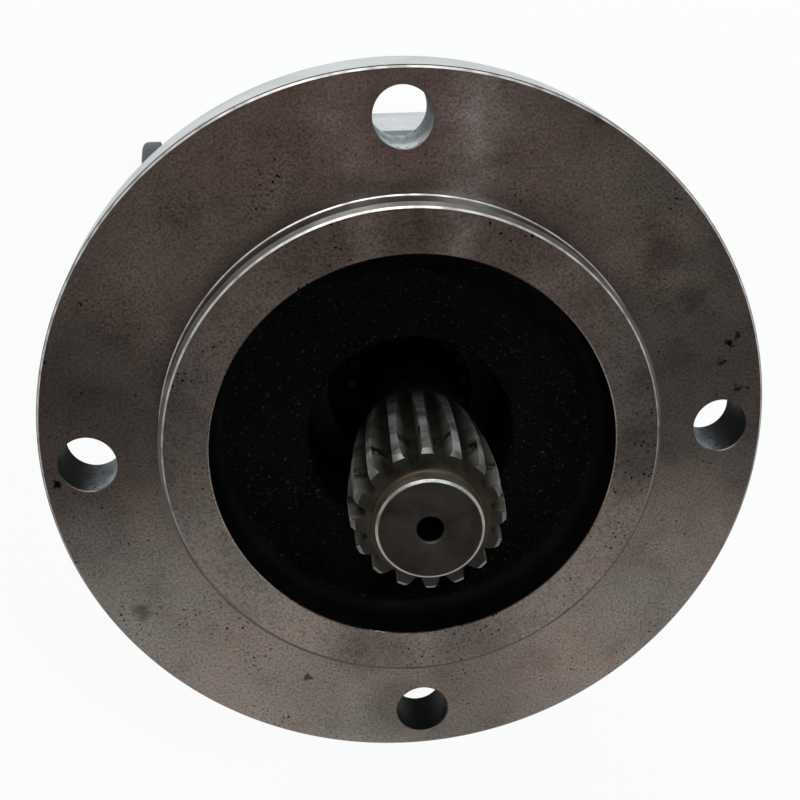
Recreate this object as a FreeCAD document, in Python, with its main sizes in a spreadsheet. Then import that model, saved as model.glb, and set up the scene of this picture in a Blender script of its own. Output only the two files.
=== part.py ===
import FreeCAD, Part
import math
import os

import Sketcher

# A bearingless orbital drive motor: +Z runs out of the mounting face along the
# output end, and the origin is the centre of the mounting face of the flange.
doc = FreeCAD.newDocument("drive_motor")
sheet = doc.addObject("Spreadsheet::Sheet", "Size")

# Driving sizes in millimetres, each with the thing that it measures
SIZES = [
    ("rim_width", 11.25, "flange outside the circle of mounting holes"),
    ("flange_thickness", 16.4, "mounting flange"),
    ("flange_chamfer", 0.8, "front edge of the flange"),
    ("hole_stand", 17.5, "mounting holes outside the spigot"),
    ("mount_hole", 7.05, "radius of a mounting hole"),
    ("mount_count", 4, "mounting holes"),
    ("pilot_radius", 62.5, "locating spigot"),
    ("pilot_height", 7.5, "locating spigot above the flange"),
    ("pilot_chamfer", 1.3, "lead-in edge of the spigot"),
    ("pilot_wall", 12.0, "wall of the spigot round the cast cavity"),
    ("cavity_floor", 5.3, "cavity floor below the flange face"),
    ("cavity_round", 4.5, "corner of the cavity floor"),
    ("throat_radius", 26.15, "bore through the cavity floor"),
    ("neck_wall", 11.0, "round sections outside the circle of the section bolts"),
    ("neck_round", 5.0, "corner between flange and neck"),
    ("housing_depth", 38.0, "rear face of the front housing"),
    ("wear_thickness", 6.0, "wear plate"),
    ("wear_bore", 20.0, "hole in the wear plate"),
    ("set_width", 18.0, "stator ring along the axis"),
    ("front_plate", 3.0, "manifold plate beside the rotor"),
    ("passage_plate", 4.0, "manifold plate with the curved passages"),
    ("port_plate", 3.0, "manifold plate beside the commutator"),
    ("manifold_bore", 13.5, "centre hole of the manifold plates"),
    ("ring_thickness", 10.0, "ring round the commutator"),
    ("ring_wall", 11.0, "commutator ring inside the circle of the section bolts"),
    ("cover_thickness", 32.0, "end cover"),
    ("cover_margin", 2.5, "flats of the end cover outside the round sections"),
    ("cover_corner", 16.0, "corner radius of the end cover"),
    ("cover_edge", 2.0, "rounded rim of the end cover"),
    ("bolt_stand", 11.0, "section bolts outside the circle of the rollers"),
    ("bolt_radius", 5.0, "section bolt shank"),
    ("bolt_gap", 0.25, "radial room round a section bolt"),
    ("bolt_grip", 18.0, "section bolt inside the front housing"),
    ("bolt_head", 6.4, "height of a section bolt head"),
    ("bolt_flats", 8.0, "half of the spanner size"),
    ("washer_thickness", 2.0, "washer under a section bolt head"),
    ("washer_radius", 9.4, "washer, outside"),
    ("sink_radius", 10.0, "pocket for a section bolt head"),
    ("sink_depth", 9.0, "pocket for a section bolt head"),
    ("roller_count", 7, "rollers, section bolts and chambers"),
    ("roller_circle", 38.0, "circle of the roller centres"),
    ("roller_radius", 8.0, "roller"),
    ("pocket_opening", 1.0, "inside of the stator from the roller centres"),
    ("eccentricity", 3.2, "rotor centre from the motor axis"),
    ("run_gap", 0.03, "running clearance of rotor, rollers and commutator"),
    ("seal_wall", 4.2, "section seal groove, inner edge from the outside"),
    ("seal_width", 1.9, "section seal groove, across"),
    ("seal_depth", 1.2, "section seal groove"),
    ("seal_gap", 0.05, "room round a seal in its groove"),
    ("pin_wall", 8.5, "timing pins from the outside"),
    ("pin_radius", 1.75, "timing pin"),
    ("pin_reach", 4.0, "timing pin beyond the manifold on each side"),
    ("pin_gap", 0.03, "radial room round a timing pin"),
    ("chamber_step", 5.0, "holes into the chambers inside the roller centres"),
    ("chamber_hole", 3.2, "radius of a hole into a chamber"),
    ("port_circle", 22.0, "circle of the valve holes"),
    ("port_hole", 3.0, "radius of a valve hole"),
    ("passage_half", 2.0, "half width of a curved passage"),
    ("commutator_hub", 12.5, "hub of the commutator"),
    ("commutator_recess", 3.0, "depth of its front recess"),
    ("commutator_drill", 2.2, "radius of a hole through the commutator"),
    ("commutator_drills", 6, "holes through the commutator"),
    ("lip_step", 1.4, "commutator seal groove, inside the circle of valve holes"),
    ("lip_width", 2.0, "commutator seal groove, across"),
    ("lip_depth", 2.4, "commutator seal groove"),
    ("bush_outer", 10.5, "nose bushing, outside"),
    ("bush_gap", 0.05, "room between the nose and its bushing"),
    ("bush_length", 8.0, "nose bushing"),
    ("pocket_radius", 15.5, "centre pocket of the end cover"),
    ("pocket_depth", 20.0, "centre pocket of the end cover"),
    ("gallery_width", 8.0, "ring gallery of the end cover"),
    ("gallery_depth", 5.0, "ring gallery of the end cover"),
    ("port_margin", 19.5, "middle of a hose port from the side of the cover"),
    ("port_radius", 9.3, "hose port, thread core"),
    ("port_length", 40.0, "hose port"),
    ("drill_radius", 4.5, "cross drillings of the end cover"),
    ("drill_x", 24.0, "gallery drilling, back from the axis"),
    ("drill_y", 31.0, "gallery drilling, sideways"),
    ("cap_radius", 15.4, "head of the port cap"),
    ("cap_head", 5.0, "height of the port cap head"),
    ("cap_round", 1.8, "rim of the port cap head"),
    ("cap_stem", 12.0, "stem of the port cap"),
    ("cap_wall", 1.6, "wall of the port cap"),
    ("drain_stand", 10.5, "drain plug in front of the housing's rear face"),
    ("drain_bore", 5.9, "drain hole radius"),
    ("flat_depth", 1.4, "flat under the drain plug, into the neck"),
    ("drain_head", 8.5, "radius of the drain plug head"),
    ("drain_height", 4.5, "height of the drain plug head"),
    ("drain_stem", 11.0, "stem of the drain plug"),
    ("drain_washer", 1.5, "thickness of the drain washer"),
    ("drain_socket", 2.9, "half of the drain plug key size"),
    ("pivot_height", 20.0, "middle of the output coupling above the flange"),
    ("link_end", 48.8, "end of the drive link above the flange"),
    ("tooth_front", 44.4, "front of the output teeth above the flange"),
    ("boss_radius", 11.9, "boss on the end of the drive link"),
    ("boss_chamfer", 0.6, "edge of the boss"),
    ("boss_round", 1.3, "foot of the boss"),
    ("centre_hole", 3.05, "centre hole of the drive link"),
    ("centre_depth", 9.0, "depth of the centre hole"),
    ("link_neck", 12.6, "neck of the drive link"),
    ("root_front", 14.3, "tooth root at the front"),
    ("root_middle", 14.7, "tooth root at the crown"),
    ("tooth_count", 16, "teeth of each spline"),
    ("tip_chamfer", 15.7, "tip at the front face of the teeth"),
    ("tip_front", 17.45, "tip behind the front chamfer"),
    ("tip_crown", 18.0, "tip at the crown"),
    ("tip_slope", 17.2, "tip half way down the crown"),
    ("tip_rear", 15.9, "tip near the run-out"),
    ("tooth_half", 1.1, "half width of a tooth at the front tip"),
    ("flank_slope", 0.34, "widening of a tooth per mm towards its root"),
    ("tail_half", 8.0, "half length of the inner spline"),
    ("tail_root", 14.6, "root of the inner spline"),
    ("tail_tip", 17.5, "tip of the inner spline"),
    ("tail_relief", 0.42, "crowning at the ends of the inner spline"),
    ("spline_gap", 0.12, "flank clearance in the rotor"),
    ("rotor_minor", 15.4, "tips of the rotor's inner teeth"),
    ("rotor_major", 18.3, "roots of the rotor's inner teeth"),
    ("nose_neck", 6.4, "shank of the nose"),
    ("nose_radius", 8.0, "ball nose"),
]
for row, (alias, number, note) in enumerate(SIZES, start=1):
    sheet.set(f"A{row}", note)
    sheet.set(f"B{row}", str(number))
    sheet.setAlias(f"B{row}", alias)
doc.recompute()


def size(alias):
    return float(sheet.get(alias))


def measure(expression):
    return float(sheet.evalExpression(expression))


# Sizes that follow from others, so that what fits together keeps together
CAVITY_RADIUS = "(Size.pilot_radius - Size.pilot_wall)"
MOUNT_CIRCLE = "(Size.pilot_radius + Size.hole_stand)"
FLANGE_RADIUS = f"({MOUNT_CIRCLE} + Size.rim_width)"
STATOR_BORE = "(Size.roller_circle - Size.pocket_opening)"
CHAMBER_CIRCLE = "(Size.roller_circle - Size.chamber_step)"
BOLT_CIRCLE = "(Size.roller_circle + Size.bolt_stand)"
NECK_RADIUS = f"({BOLT_CIRCLE} + Size.neck_wall)"
SEAL_INNER = f"({NECK_RADIUS} - Size.seal_wall)"
PIN_CIRCLE = f"({NECK_RADIUS} - Size.pin_wall)"
RING_BORE = f"({BOLT_CIRCLE} - Size.ring_wall)"
GALLERY_INNER = f"({RING_BORE} - Size.gallery_width)"
COVER_HALF = f"({NECK_RADIUS} + Size.cover_margin)"
PORT_OFFSET = f"({COVER_HALF} - Size.port_margin)"
DRAIN_FACE = f"({NECK_RADIUS} - Size.flat_depth)"
DRAIN_LEVEL = "(Size.housing_depth - Size.drain_stand)"
LAND_OUTER = "(Size.port_circle + Size.port_hole)"
LAND_INNER = "(Size.port_circle - Size.port_hole)"
LIP_INNER = "(Size.port_circle - Size.lip_step)"


# Levels along the axis, from the mounting face back to the end cover
HOUSING_REAR = "-Size.housing_depth"
WEAR_REAR = f"{HOUSING_REAR} - Size.wear_thickness"
STATOR_REAR = f"{WEAR_REAR} - Size.set_width"
FRONT_PLATE_REAR = f"{STATOR_REAR} - Size.front_plate"
PASSAGE_REAR = f"{FRONT_PLATE_REAR} - Size.passage_plate"
MANIFOLD_REAR = f"{PASSAGE_REAR} - Size.port_plate"
RING_REAR = f"{MANIFOLD_REAR} - Size.ring_thickness"
COVER_REAR = f"{RING_REAR} - Size.cover_thickness"

housing_rear = -size("housing_depth")
wear_rear = housing_rear - size("wear_thickness")
stator_rear = wear_rear - size("set_width")
front_plate_rear = stator_rear - size("front_plate")
passage_rear = front_plate_rear - size("passage_plate")
manifold_rear = passage_rear - size("port_plate")
ring_rear = manifold_rear - size("ring_thickness")
cover_rear = ring_rear - size("cover_thickness")
port_level = (ring_rear + cover_rear) / 2
PORT_LEVEL = f"{RING_REAR} - Size.cover_thickness / 2"

# The drive link leans from the output coupling to the centre of the rotor
rotor_level = (wear_rear + stator_rear) / 2
nose_level = (manifold_rear + ring_rear) / 2
pivot = size("pivot_height")
lean = math.atan2(size("eccentricity"), pivot - rotor_level)
nose_offset = (pivot - nose_level) * math.tan(lean)
roller_step = 360.0 / size("roller_count")
parts = []


def keep(thing):
    parts.append(thing)
    return thing


def new_body(label):
    body = doc.addObject("PartDesign::Body", label)
    body.Label = label
    return keep(body)


def origin(body, role):
    return next(f for f in body.Origin.OriginFeatures if f.Role == role)


def new_sketch(body, name, role, level="0"):
    sketch = body.newObject("Sketcher::SketchObject", name)
    sketch.AttachmentSupport = [(origin(body, role), "")]
    sketch.MapMode = "FlatFace"
    sketch.setExpression("AttachmentOffset.Base.z", level)
    return sketch


def number(sketch, expression):
    return float(sketch.evalExpression(expression))


def pin_point(sketch, geometry, point, x, y):
    """Ties a point of the sketch to two expressions of the sheet."""
    for kind, expression in (("DistanceX", x), ("DistanceY", y)):
        value = number(sketch, expression)
        if abs(value) < 1e-9:
            axis = -2 if kind == "DistanceX" else -1
            sketch.addConstraint(Sketcher.Constraint("PointOnObject", geometry, point, axis))
            continue
        rule = Sketcher.Constraint(kind, -1, 1, geometry, point, value)
        index = sketch.addConstraint(rule)
        sketch.setExpression(f"Constraints[{index}]", expression)


def polygon(sketch, corners):
    """A closed outline through corners given as pairs of expressions."""
    points = [FreeCAD.Vector(number(sketch, x), number(sketch, y), 0) for x, y in corners]
    count = len(points)
    first = sketch.GeometryCount
    for i in range(count):
        sketch.addGeometry(Part.LineSegment(points[i], points[(i + 1) % count]), False)
    for i in range(count):
        following = first + (i + 1) % count
        sketch.addConstraint(Sketcher.Constraint("Coincident", first + i, 2, following, 1))
    for i, (x, y) in enumerate(corners):
        pin_point(sketch, first + i, 1, x, y)


def circle(sketch, radius, x="0", y="0"):
    centre = FreeCAD.Vector(number(sketch, x), number(sketch, y), 0)
    round_edge = Part.Circle(centre, FreeCAD.Vector(0, 0, 1), number(sketch, radius))
    index = sketch.addGeometry(round_edge, False)
    pin_point(sketch, index, 3, x, y)
    rule = sketch.addConstraint(Sketcher.Constraint("Radius", index, number(sketch, radius)))
    sketch.setExpression(f"Constraints[{rule}]", radius)


def revolve(body, name, corners, kind="Revolution"):
    sketch = new_sketch(body, name + "_profile", "XZ_Plane")
    polygon(sketch, corners)
    turned = body.newObject(f"PartDesign::{kind}", name)
    turned.Profile = sketch
    turned.ReferenceAxis = (origin(body, "Z_Axis"), [""])
    turned.Angle = 360
    sketch.Visibility = False
    return turned


def pad_down(body, name, sketch, depth):
    pad = body.newObject("PartDesign::Pad", name)
    pad.Profile = sketch
    pad.Reversed = True
    pad.setExpression("Length", depth)
    return pad


def cut(body, name, sketch, depth, upward=False):
    """A pocket below its sketch plane, or above it."""
    doc.recompute()
    before = body.Shape.Volume
    pocket = body.newObject("PartDesign::Pocket", name)
    pocket.Profile = sketch
    pocket.Reversed = upward
    pocket.setExpression("Length", depth)
    doc.recompute()
    if body.Shape.Volume > before - 1e-3:
        raise RuntimeError(f"{body.Label}: {name} cuts nothing")
    return pocket


def around(body, name, feature, count):
    pattern = body.newObject("PartDesign::PolarPattern", name)
    pattern.Originals = [feature]
    pattern.Axis = (origin(body, "Z_Axis"), [""])
    pattern.Angle = 360
    pattern.setExpression("Occurrences", count)
    body.Tip = pattern
    return pattern


def on_circle(radius, degrees):
    return f"{radius} * cos({degrees})", f"{radius} * sin({degrees})"


def holes(body, name, radius, x, y, level, depth, count, upward=False):
    sketch = new_sketch(body, name + "_sketch", "XY_Plane", level)
    circle(sketch, radius, x, y)
    first = cut(body, name, sketch, depth, upward)
    return around(body, name + "_round", first, count)


def bolt_holes(body, level, depth, upward=False):
    holes(body, "bolt_hole", "Size.bolt_radius + Size.bolt_gap", BOLT_CIRCLE, "0",
          level, depth, "Size.roller_count", upward)


def ring_groove(body, name, inner, width, level, depth, upward=False):
    sketch = new_sketch(body, name + "_sketch", "XY_Plane", level)
    circle(sketch, inner)
    circle(sketch, f"{inner} + {width}")
    return cut(body, name, sketch, depth, upward)


def seal_groove(body, name, level, upward=False):
    ring_groove(body, name, SEAL_INNER, "Size.seal_width", level, "Size.seal_depth", upward)


def pin_holes(body, level, depth, upward=False):
    """The two holes for the timing pins, on opposite sides of the flat of the ports."""
    sketch = new_sketch(body, "pin_hole_sketch", "XY_Plane", level)
    for sign in ("", "-"):
        x, y = on_circle(PIN_CIRCLE, "180 / Size.roller_count")
        circle(sketch, "Size.pin_radius + Size.pin_gap", x, sign + y)
    return cut(body, "pin_holes", sketch, depth, upward)


def edges_at(feature, wanted):
    return [f"Edge{i}" for i, edge in enumerate(feature.Shape.Edges, start=1) if wanted(edge)]


def ring_edge(radius, level):
    def wanted(edge):
        curve = edge.Curve
        return (isinstance(curve, Part.Circle) and abs(curve.Radius - radius) < 1e-4
                and abs(curve.Center.z - level) < 1e-4 and abs(curve.Center.x) < 1e-4)
    return wanted


def dress(body, name, kind, amount, wanted):
    """A fillet or chamfer on the edges of the body that the test picks."""
    doc.recompute()
    base = body.Tip
    names = edges_at(base, wanted)
    if not names:
        raise RuntimeError(f"{body.Label}: {name} finds no edge")
    feature = body.newObject(f"PartDesign::{kind}", name)
    feature.Base = (base, names)
    feature.setExpression("Radius" if kind == "Fillet" else "Size", amount)
    doc.recompute()
    return feature


def radial(distance, level, degrees):
    """A frame on the side of the motor whose Z axis points outwards."""
    turn = FreeCAD.Rotation(FreeCAD.Vector(0, 0, 1), degrees)
    tilt = FreeCAD.Rotation(FreeCAD.Vector(0, 1, 0), 90)
    outward = turn.multVec(FreeCAD.Vector(distance, 0, level))
    return FreeCAD.Placement(outward, turn.multiply(tilt))


def bore_out(body, name, radius, start, level, degrees, reach):
    drill = body.newObject("PartDesign::SubtractiveCylinder", name)
    drill.setExpression("Radius", radius)
    drill.Height = reach
    drill.Placement = radial(start, level, degrees)
    body.Tip = drill
    doc.recompute()
    return drill


# Front housing: a casting with the mounting flange, spigot, cavity and neck
housing = new_body("mounting_housing")
revolve(housing, "casting", [
    ("Size.throat_radius", HOUSING_REAR),
    (NECK_RADIUS, HOUSING_REAR),
    (NECK_RADIUS, "-Size.flange_thickness"),
    (FLANGE_RADIUS, "-Size.flange_thickness"),
    (FLANGE_RADIUS, "0"),
    ("Size.pilot_radius", "0"),
    ("Size.pilot_radius", "Size.pilot_height"),
    (CAVITY_RADIUS, "Size.pilot_height"),
    (CAVITY_RADIUS, "-Size.cavity_floor"),
    ("Size.throat_radius", "-Size.cavity_floor"),
])
dress(housing, "spigot_lead", "Chamfer", "Size.pilot_chamfer",
      ring_edge(size("pilot_radius"), size("pilot_height")))
dress(housing, "flange_lead", "Chamfer", "Size.flange_chamfer", ring_edge(measure(FLANGE_RADIUS), 0))
dress(housing, "cavity_corner", "Fillet", "Size.cavity_round",
      ring_edge(measure(CAVITY_RADIUS), -size("cavity_floor")))
dress(housing, "neck_corner", "Fillet", "Size.neck_round",
      ring_edge(measure(NECK_RADIUS), -size("flange_thickness")))
dress(housing, "flange_back", "Fillet", "Size.flange_chamfer * 2",
      ring_edge(measure(FLANGE_RADIUS), -size("flange_thickness")))
holes(housing, "mount_hole", "Size.mount_hole", MOUNT_CIRCLE, "0", "0",
      "Size.flange_thickness + 1", "Size.mount_count")
bolt_holes(housing, HOUSING_REAR, "Size.bolt_grip + 1", upward=True)
seal_groove(housing, "front_groove", HOUSING_REAR, upward=True)
drain_turn = -roller_step / 2
bore_out(housing, "drain_flat", "Size.drain_head + 1.5", measure(DRAIN_FACE), -measure(DRAIN_LEVEL),
         drain_turn, measure(NECK_RADIUS) - measure(DRAIN_FACE) + size("neck_round"))
bore_out(housing, "drain_hole", "Size.drain_bore", size("throat_radius") - 2,
         -measure(DRAIN_LEVEL), drain_turn, measure(NECK_RADIUS) - size("throat_radius") + 4)


def plate(label, level, thickness, outer, inner):
    body = new_body(label)
    sketch = new_sketch(body, "outline", "XY_Plane", level)
    circle(sketch, outer)
    circle(sketch, inner)
    pad_down(body, "plate", sketch, thickness)
    doc.recompute()
    return body


# Wear plate: hardened steel face that the rotor runs against
wear_plate = plate("wear_plate", HOUSING_REAR, "Size.wear_thickness", NECK_RADIUS,
                   "Size.wear_bore")
bolt_holes(wear_plate, HOUSING_REAR, "Size.wear_thickness")

# Stator: the outer ring of the gear set with a round pocket for each roller
stator = plate("stator", WEAR_REAR, "Size.set_width", NECK_RADIUS, STATOR_BORE)
pocket_x, pocket_y = on_circle("Size.roller_circle", "180 / Size.roller_count")
holes(stator, "roller_pocket", "Size.roller_radius + Size.run_gap", pocket_x, pocket_y,
      WEAR_REAR, "Size.set_width", "Size.roller_count")
bolt_holes(stator, WEAR_REAR, "Size.set_width")
seal_groove(stator, "front_groove", WEAR_REAR)
seal_groove(stator, "rear_groove", STATOR_REAR, upward=True)
pin_holes(stator, STATOR_REAR, "Size.pin_reach + 0.2", upward=True)

# Manifold: three brazed plates that lead each chamber a quarter turn round
front_plate = plate("manifold_front_plate", STATOR_REAR, "Size.front_plate",
                    NECK_RADIUS, "Size.manifold_bore")
holes(front_plate, "chamber_hole", "Size.chamber_hole", CHAMBER_CIRCLE, "0",
      STATOR_REAR, "Size.front_plate", "Size.roller_count")
bolt_holes(front_plate, STATOR_REAR, "Size.front_plate")
pin_holes(front_plate, STATOR_REAR, "Size.front_plate")

port_plate = plate("manifold_port_plate", PASSAGE_REAR, "Size.port_plate", NECK_RADIUS,
                   "Size.manifold_bore")
holes(port_plate, "valve_hole", "Size.port_hole", "0", "-Size.port_circle", PASSAGE_REAR,
      "Size.port_plate", "Size.roller_count")
bolt_holes(port_plate, PASSAGE_REAR, "Size.port_plate")
pin_holes(port_plate, PASSAGE_REAR, "Size.port_plate")


def disc(radius, level, height, x=0.0, y=0.0):
    return Part.makeCylinder(radius, height, FreeCAD.Vector(x, y, level))


def turned_copies(shape, count, step):
    axis = FreeCAD.Vector(0, 0, 1)
    return [shape.rotated(FreeCAD.Vector(0, 0, 0), axis, i * step) for i in range(count)]


def spiral(offset):
    """Points of one side of a curved passage, from its chamber to its valve hole."""
    fall = measure(CHAMBER_CIRCLE) - size("port_circle")
    points = []
    for i in range(9):
        share = i / 8
        radius = measure(CHAMBER_CIRCLE) - fall * share + offset
        angle = math.radians(-90 * share)
        points.append(FreeCAD.Vector(radius * math.cos(angle), radius * math.sin(angle), 0))
    return points


def passage_slot():
    half = size("passage_half")
    outer, inner = spiral(half), spiral(-half)
    sides = []
    for points in (outer, inner[::-1]):
        curve = Part.BSplineCurve()
        curve.interpolate(points)
        sides.append(curve.toShape())
    ends = [Part.makeLine(outer[-1], inner[-1]), Part.makeLine(inner[0], outer[0])]
    face = Part.Face(Part.Wire(Part.__sortEdges__(sides + ends)))
    height = size("passage_plate") + 2
    slot = face.extrude(FreeCAD.Vector(0, 0, height))
    slot.translate(FreeCAD.Vector(0, 0, passage_rear - 1))
    for x, y in ((measure(CHAMBER_CIRCLE), 0), (0, -size("port_circle"))):
        slot = slot.fuse(disc(size("port_hole"), passage_rear - 1, height, x, y))
    return slot


def feature(label, shape, placement=None):
    thing = doc.addObject("Part::Feature", label)
    thing.Label = label
    thing.Shape = shape
    if placement:
        thing.Placement = placement
    return keep(thing)


count = int(size("roller_count"))
slots = turned_copies(passage_slot(), count, roller_step)
bolt_room = disc(size("bolt_radius") + size("bolt_gap"), passage_rear - 1,
                 size("passage_plate") + 2, measure(BOLT_CIRCLE))
pin_angle = math.radians(roller_step / 2)
pin_spots = [(measure(PIN_CIRCLE) * math.cos(pin_angle), side * measure(PIN_CIRCLE) * math.sin(pin_angle))
             for side in (1, -1)]
pin_rooms = [disc(size("pin_radius") + size("pin_gap"), passage_rear - 1, size("passage_plate") + 2, x, y)
             for x, y in pin_spots]
passage_shape = disc(measure(NECK_RADIUS), passage_rear, size("passage_plate"))
passage_shape = passage_shape.cut(disc(size("manifold_bore"), passage_rear - 1, size("passage_plate") + 2))
passage_shape = passage_shape.cut(slots + turned_copies(bolt_room, count, roller_step) + pin_rooms)
feature("manifold_passage_plate", passage_shape)

# Commutator ring: the spacer that leaves room for the commutator to orbit
commutator_ring = plate("commutator_ring", MANIFOLD_REAR, "Size.ring_thickness",
                        NECK_RADIUS, RING_BORE)
bolt_holes(commutator_ring, MANIFOLD_REAR, "Size.ring_thickness")
seal_groove(commutator_ring, "front_groove", MANIFOLD_REAR)
seal_groove(commutator_ring, "rear_groove", RING_REAR, upward=True)
pin_holes(commutator_ring, MANIFOLD_REAR, "Size.pin_reach + 0.2")

# End cover: a square casting with the two hose ports and the bolt heads
cover = new_body("end_cover")
outline = new_sketch(cover, "outline", "XY_Plane", RING_REAR)
polygon(outline, [
    ("-" + COVER_HALF, "-" + COVER_HALF),
    (COVER_HALF, "-" + COVER_HALF),
    (COVER_HALF, COVER_HALF),
    ("-" + COVER_HALF, COVER_HALF),
])
pad_down(cover, "block", outline, "Size.cover_thickness")


def upright(edge):
    ends = [v.Point for v in edge.Vertexes]
    return len(ends) == 2 and abs(ends[0].x - ends[1].x) < 1e-6 and abs(ends[0].y - ends[1].y) < 1e-6


def rear_rim(edge):
    return all(abs(v.Point.z - cover_rear) < 1e-6 for v in edge.Vertexes)


dress(cover, "corners", "Fillet", "Size.cover_corner", upright)
dress(cover, "rear_edge", "Fillet", "Size.cover_edge", rear_rim)
bolt_holes(cover, RING_REAR, "Size.cover_thickness")
holes(cover, "head_pocket", "Size.sink_radius", BOLT_CIRCLE, "0", COVER_REAR,
      "Size.sink_depth", "Size.roller_count", upward=True)
centre = new_sketch(cover, "centre_sketch", "XY_Plane", RING_REAR)
circle(centre, "Size.pocket_radius")
cut(cover, "centre_pocket", centre, "Size.pocket_depth")
ring_groove(cover, "gallery", GALLERY_INNER, "Size.gallery_width",
            RING_REAR, "Size.gallery_depth")
for name, side in (("port_a", ""), ("port_b", "-")):
    mouth = new_sketch(cover, name + "_sketch", "YZ_Plane", "-" + COVER_HALF)
    circle(mouth, "Size.port_radius", side + PORT_OFFSET, PORT_LEVEL)
    cut(cover, name, mouth, "Size.port_length", upward=True)
gallery_drill = new_sketch(cover, "gallery_drill_sketch", "XY_Plane", RING_REAR)
circle(gallery_drill, "Size.drill_radius", "-Size.drill_x", "Size.drill_y")
cut(cover, "gallery_drill", gallery_drill, "Size.cover_thickness / 2")
port_end = measure(COVER_HALF) - size("port_length") + size("port_radius") / 2
cross_turn = math.degrees(math.atan2(-measure(PORT_OFFSET), -port_end))
bore_out(cover, "centre_drill", "Size.drill_radius", size("pocket_radius") / 2, port_level,
         cross_turn, math.hypot(port_end, measure(PORT_OFFSET)) - size("pocket_radius") / 2)


# Section bolts with hexagon heads, their washers, timing pins and seals
def bolt_shape():
    head_top = cover_rear + size("sink_depth") - size("washer_thickness")
    corner = size("bolt_flats") / math.cos(math.radians(30))
    ring = [FreeCAD.Vector(corner * math.cos(math.radians(60 * i)), corner * math.sin(math.radians(60 * i)),
                           head_top - size("bolt_head")) for i in range(7)]
    head = Part.Face(Part.makePolygon(ring)).extrude(FreeCAD.Vector(0, 0, size("bolt_head")))
    slope = Part.makeCone(size("bolt_flats"), size("bolt_flats") + size("bolt_head") * 2, size("bolt_head"),
                          FreeCAD.Vector(0, 0, head_top - size("bolt_head")))
    head = head.common(slope)
    shank = disc(size("bolt_radius"), head_top, housing_rear + size("bolt_grip") - head_top)
    shank = shank.makeChamfer(0.8, [e for e in shank.Edges if abs(e.BoundBox.ZMin - shank.BoundBox.ZMax) < 1e-6])
    bolt = head.fuse(shank).removeSplitter()
    bolt.translate(FreeCAD.Vector(measure(BOLT_CIRCLE), 0, 0))
    return bolt


feature("section_bolts", Part.makeCompound(turned_copies(bolt_shape(), count, roller_step)))
washer_level = cover_rear + size("sink_depth") - size("washer_thickness")
washer = disc(size("washer_radius"), washer_level, size("washer_thickness"), measure(BOLT_CIRCLE))
washer = washer.cut(disc(size("bolt_radius") + size("bolt_gap"), washer_level - 1,
                         size("washer_thickness") + 2, measure(BOLT_CIRCLE)))
feature("bolt_washers", Part.makeCompound(turned_copies(washer, count, roller_step)))
pin_low = manifold_rear - size("pin_reach")
pin_long = stator_rear - manifold_rear + 2 * size("pin_reach")
feature("timing_pins", Part.makeCompound(
    [disc(size("pin_radius"), pin_low, pin_long, x, y) for x, y in pin_spots]))


def seal(label, level):
    """A square seal ring lying in its groove, with its lower side at the level."""
    gap = size("seal_gap")
    inner = measure(SEAL_INNER) + gap
    outer = measure(SEAL_INNER) + size("seal_width") - gap
    height = size("seal_depth") - 2 * gap
    ring = disc(outer, level, height).cut(disc(inner, level - 1, height + 2))
    feature(label, ring)


gap = size("seal_gap")
seal("housing_seal", housing_rear + gap)
seal("wear_plate_seal", wear_rear - size("seal_depth") + gap)
seal("stator_seal", stator_rear + gap)
seal("manifold_seal", manifold_rear - size("seal_depth") + gap)
seal("cover_seal", ring_rear + gap)

# Port cap: a moulded plug that keeps dirt out of the upper hose port
cap = new_body("port_cap")
revolve(cap, "moulding", [
    ("0", "-Size.cap_stem"),
    ("Size.port_radius - 0.35", "-Size.cap_stem"),
    ("Size.port_radius - 0.05", "0"),
    ("Size.cap_radius", "0"),
    ("Size.cap_radius", "Size.cap_head"),
    ("Size.port_radius - Size.cap_wall", "Size.cap_head"),
    ("Size.port_radius - Size.cap_wall - 0.3", "Size.cap_wall - Size.cap_stem"),
    ("0", "Size.cap_wall - Size.cap_stem"),
])
dress(cap, "cap_rim", "Fillet", "Size.cap_round", ring_edge(size("cap_radius"), size("cap_head")))
cap.Placement = FreeCAD.Placement(
    FreeCAD.Vector(-measure(COVER_HALF), measure(PORT_OFFSET), port_level),
    FreeCAD.Rotation(FreeCAD.Vector(0, 1, 0), -90))

# Drain plug with a hexagon socket and its copper washer, in the neck
plug = new_body("drain_plug")
revolve(plug, "turned", [
    ("0", "-Size.drain_stem"),
    ("Size.drain_bore - 0.8", "-Size.drain_stem"),
    ("Size.drain_bore - 0.05", "0.8 - Size.drain_stem"),
    ("Size.drain_bore - 0.05", "Size.drain_washer"),
    ("Size.drain_head", "Size.drain_washer"),
    ("Size.drain_head", "Size.drain_washer + Size.drain_height - 0.7"),
    ("Size.drain_head - 0.7", "Size.drain_washer + Size.drain_height"),
    ("0", "Size.drain_washer + Size.drain_height"),
])
key = new_sketch(plug, "key_sketch", "XY_Plane", "Size.drain_washer + Size.drain_height")
polygon(key, [(f"Size.drain_socket / cos(30) * cos({60 * i + 1})",
               f"Size.drain_socket / cos(30) * sin({60 * i + 1})") for i in range(6)])
cut(plug, "key_socket", key, "Size.drain_height + 1")
plug.Placement = radial(measure(DRAIN_FACE), -measure(DRAIN_LEVEL), drain_turn)
drain_ring = disc(size("drain_head") - 0.3, 0, size("drain_washer")).cut(
    disc(size("drain_bore"), -1, size("drain_washer") + 2))
feature("drain_washer", drain_ring, radial(measure(DRAIN_FACE), -measure(DRAIN_LEVEL), drain_turn))

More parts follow.
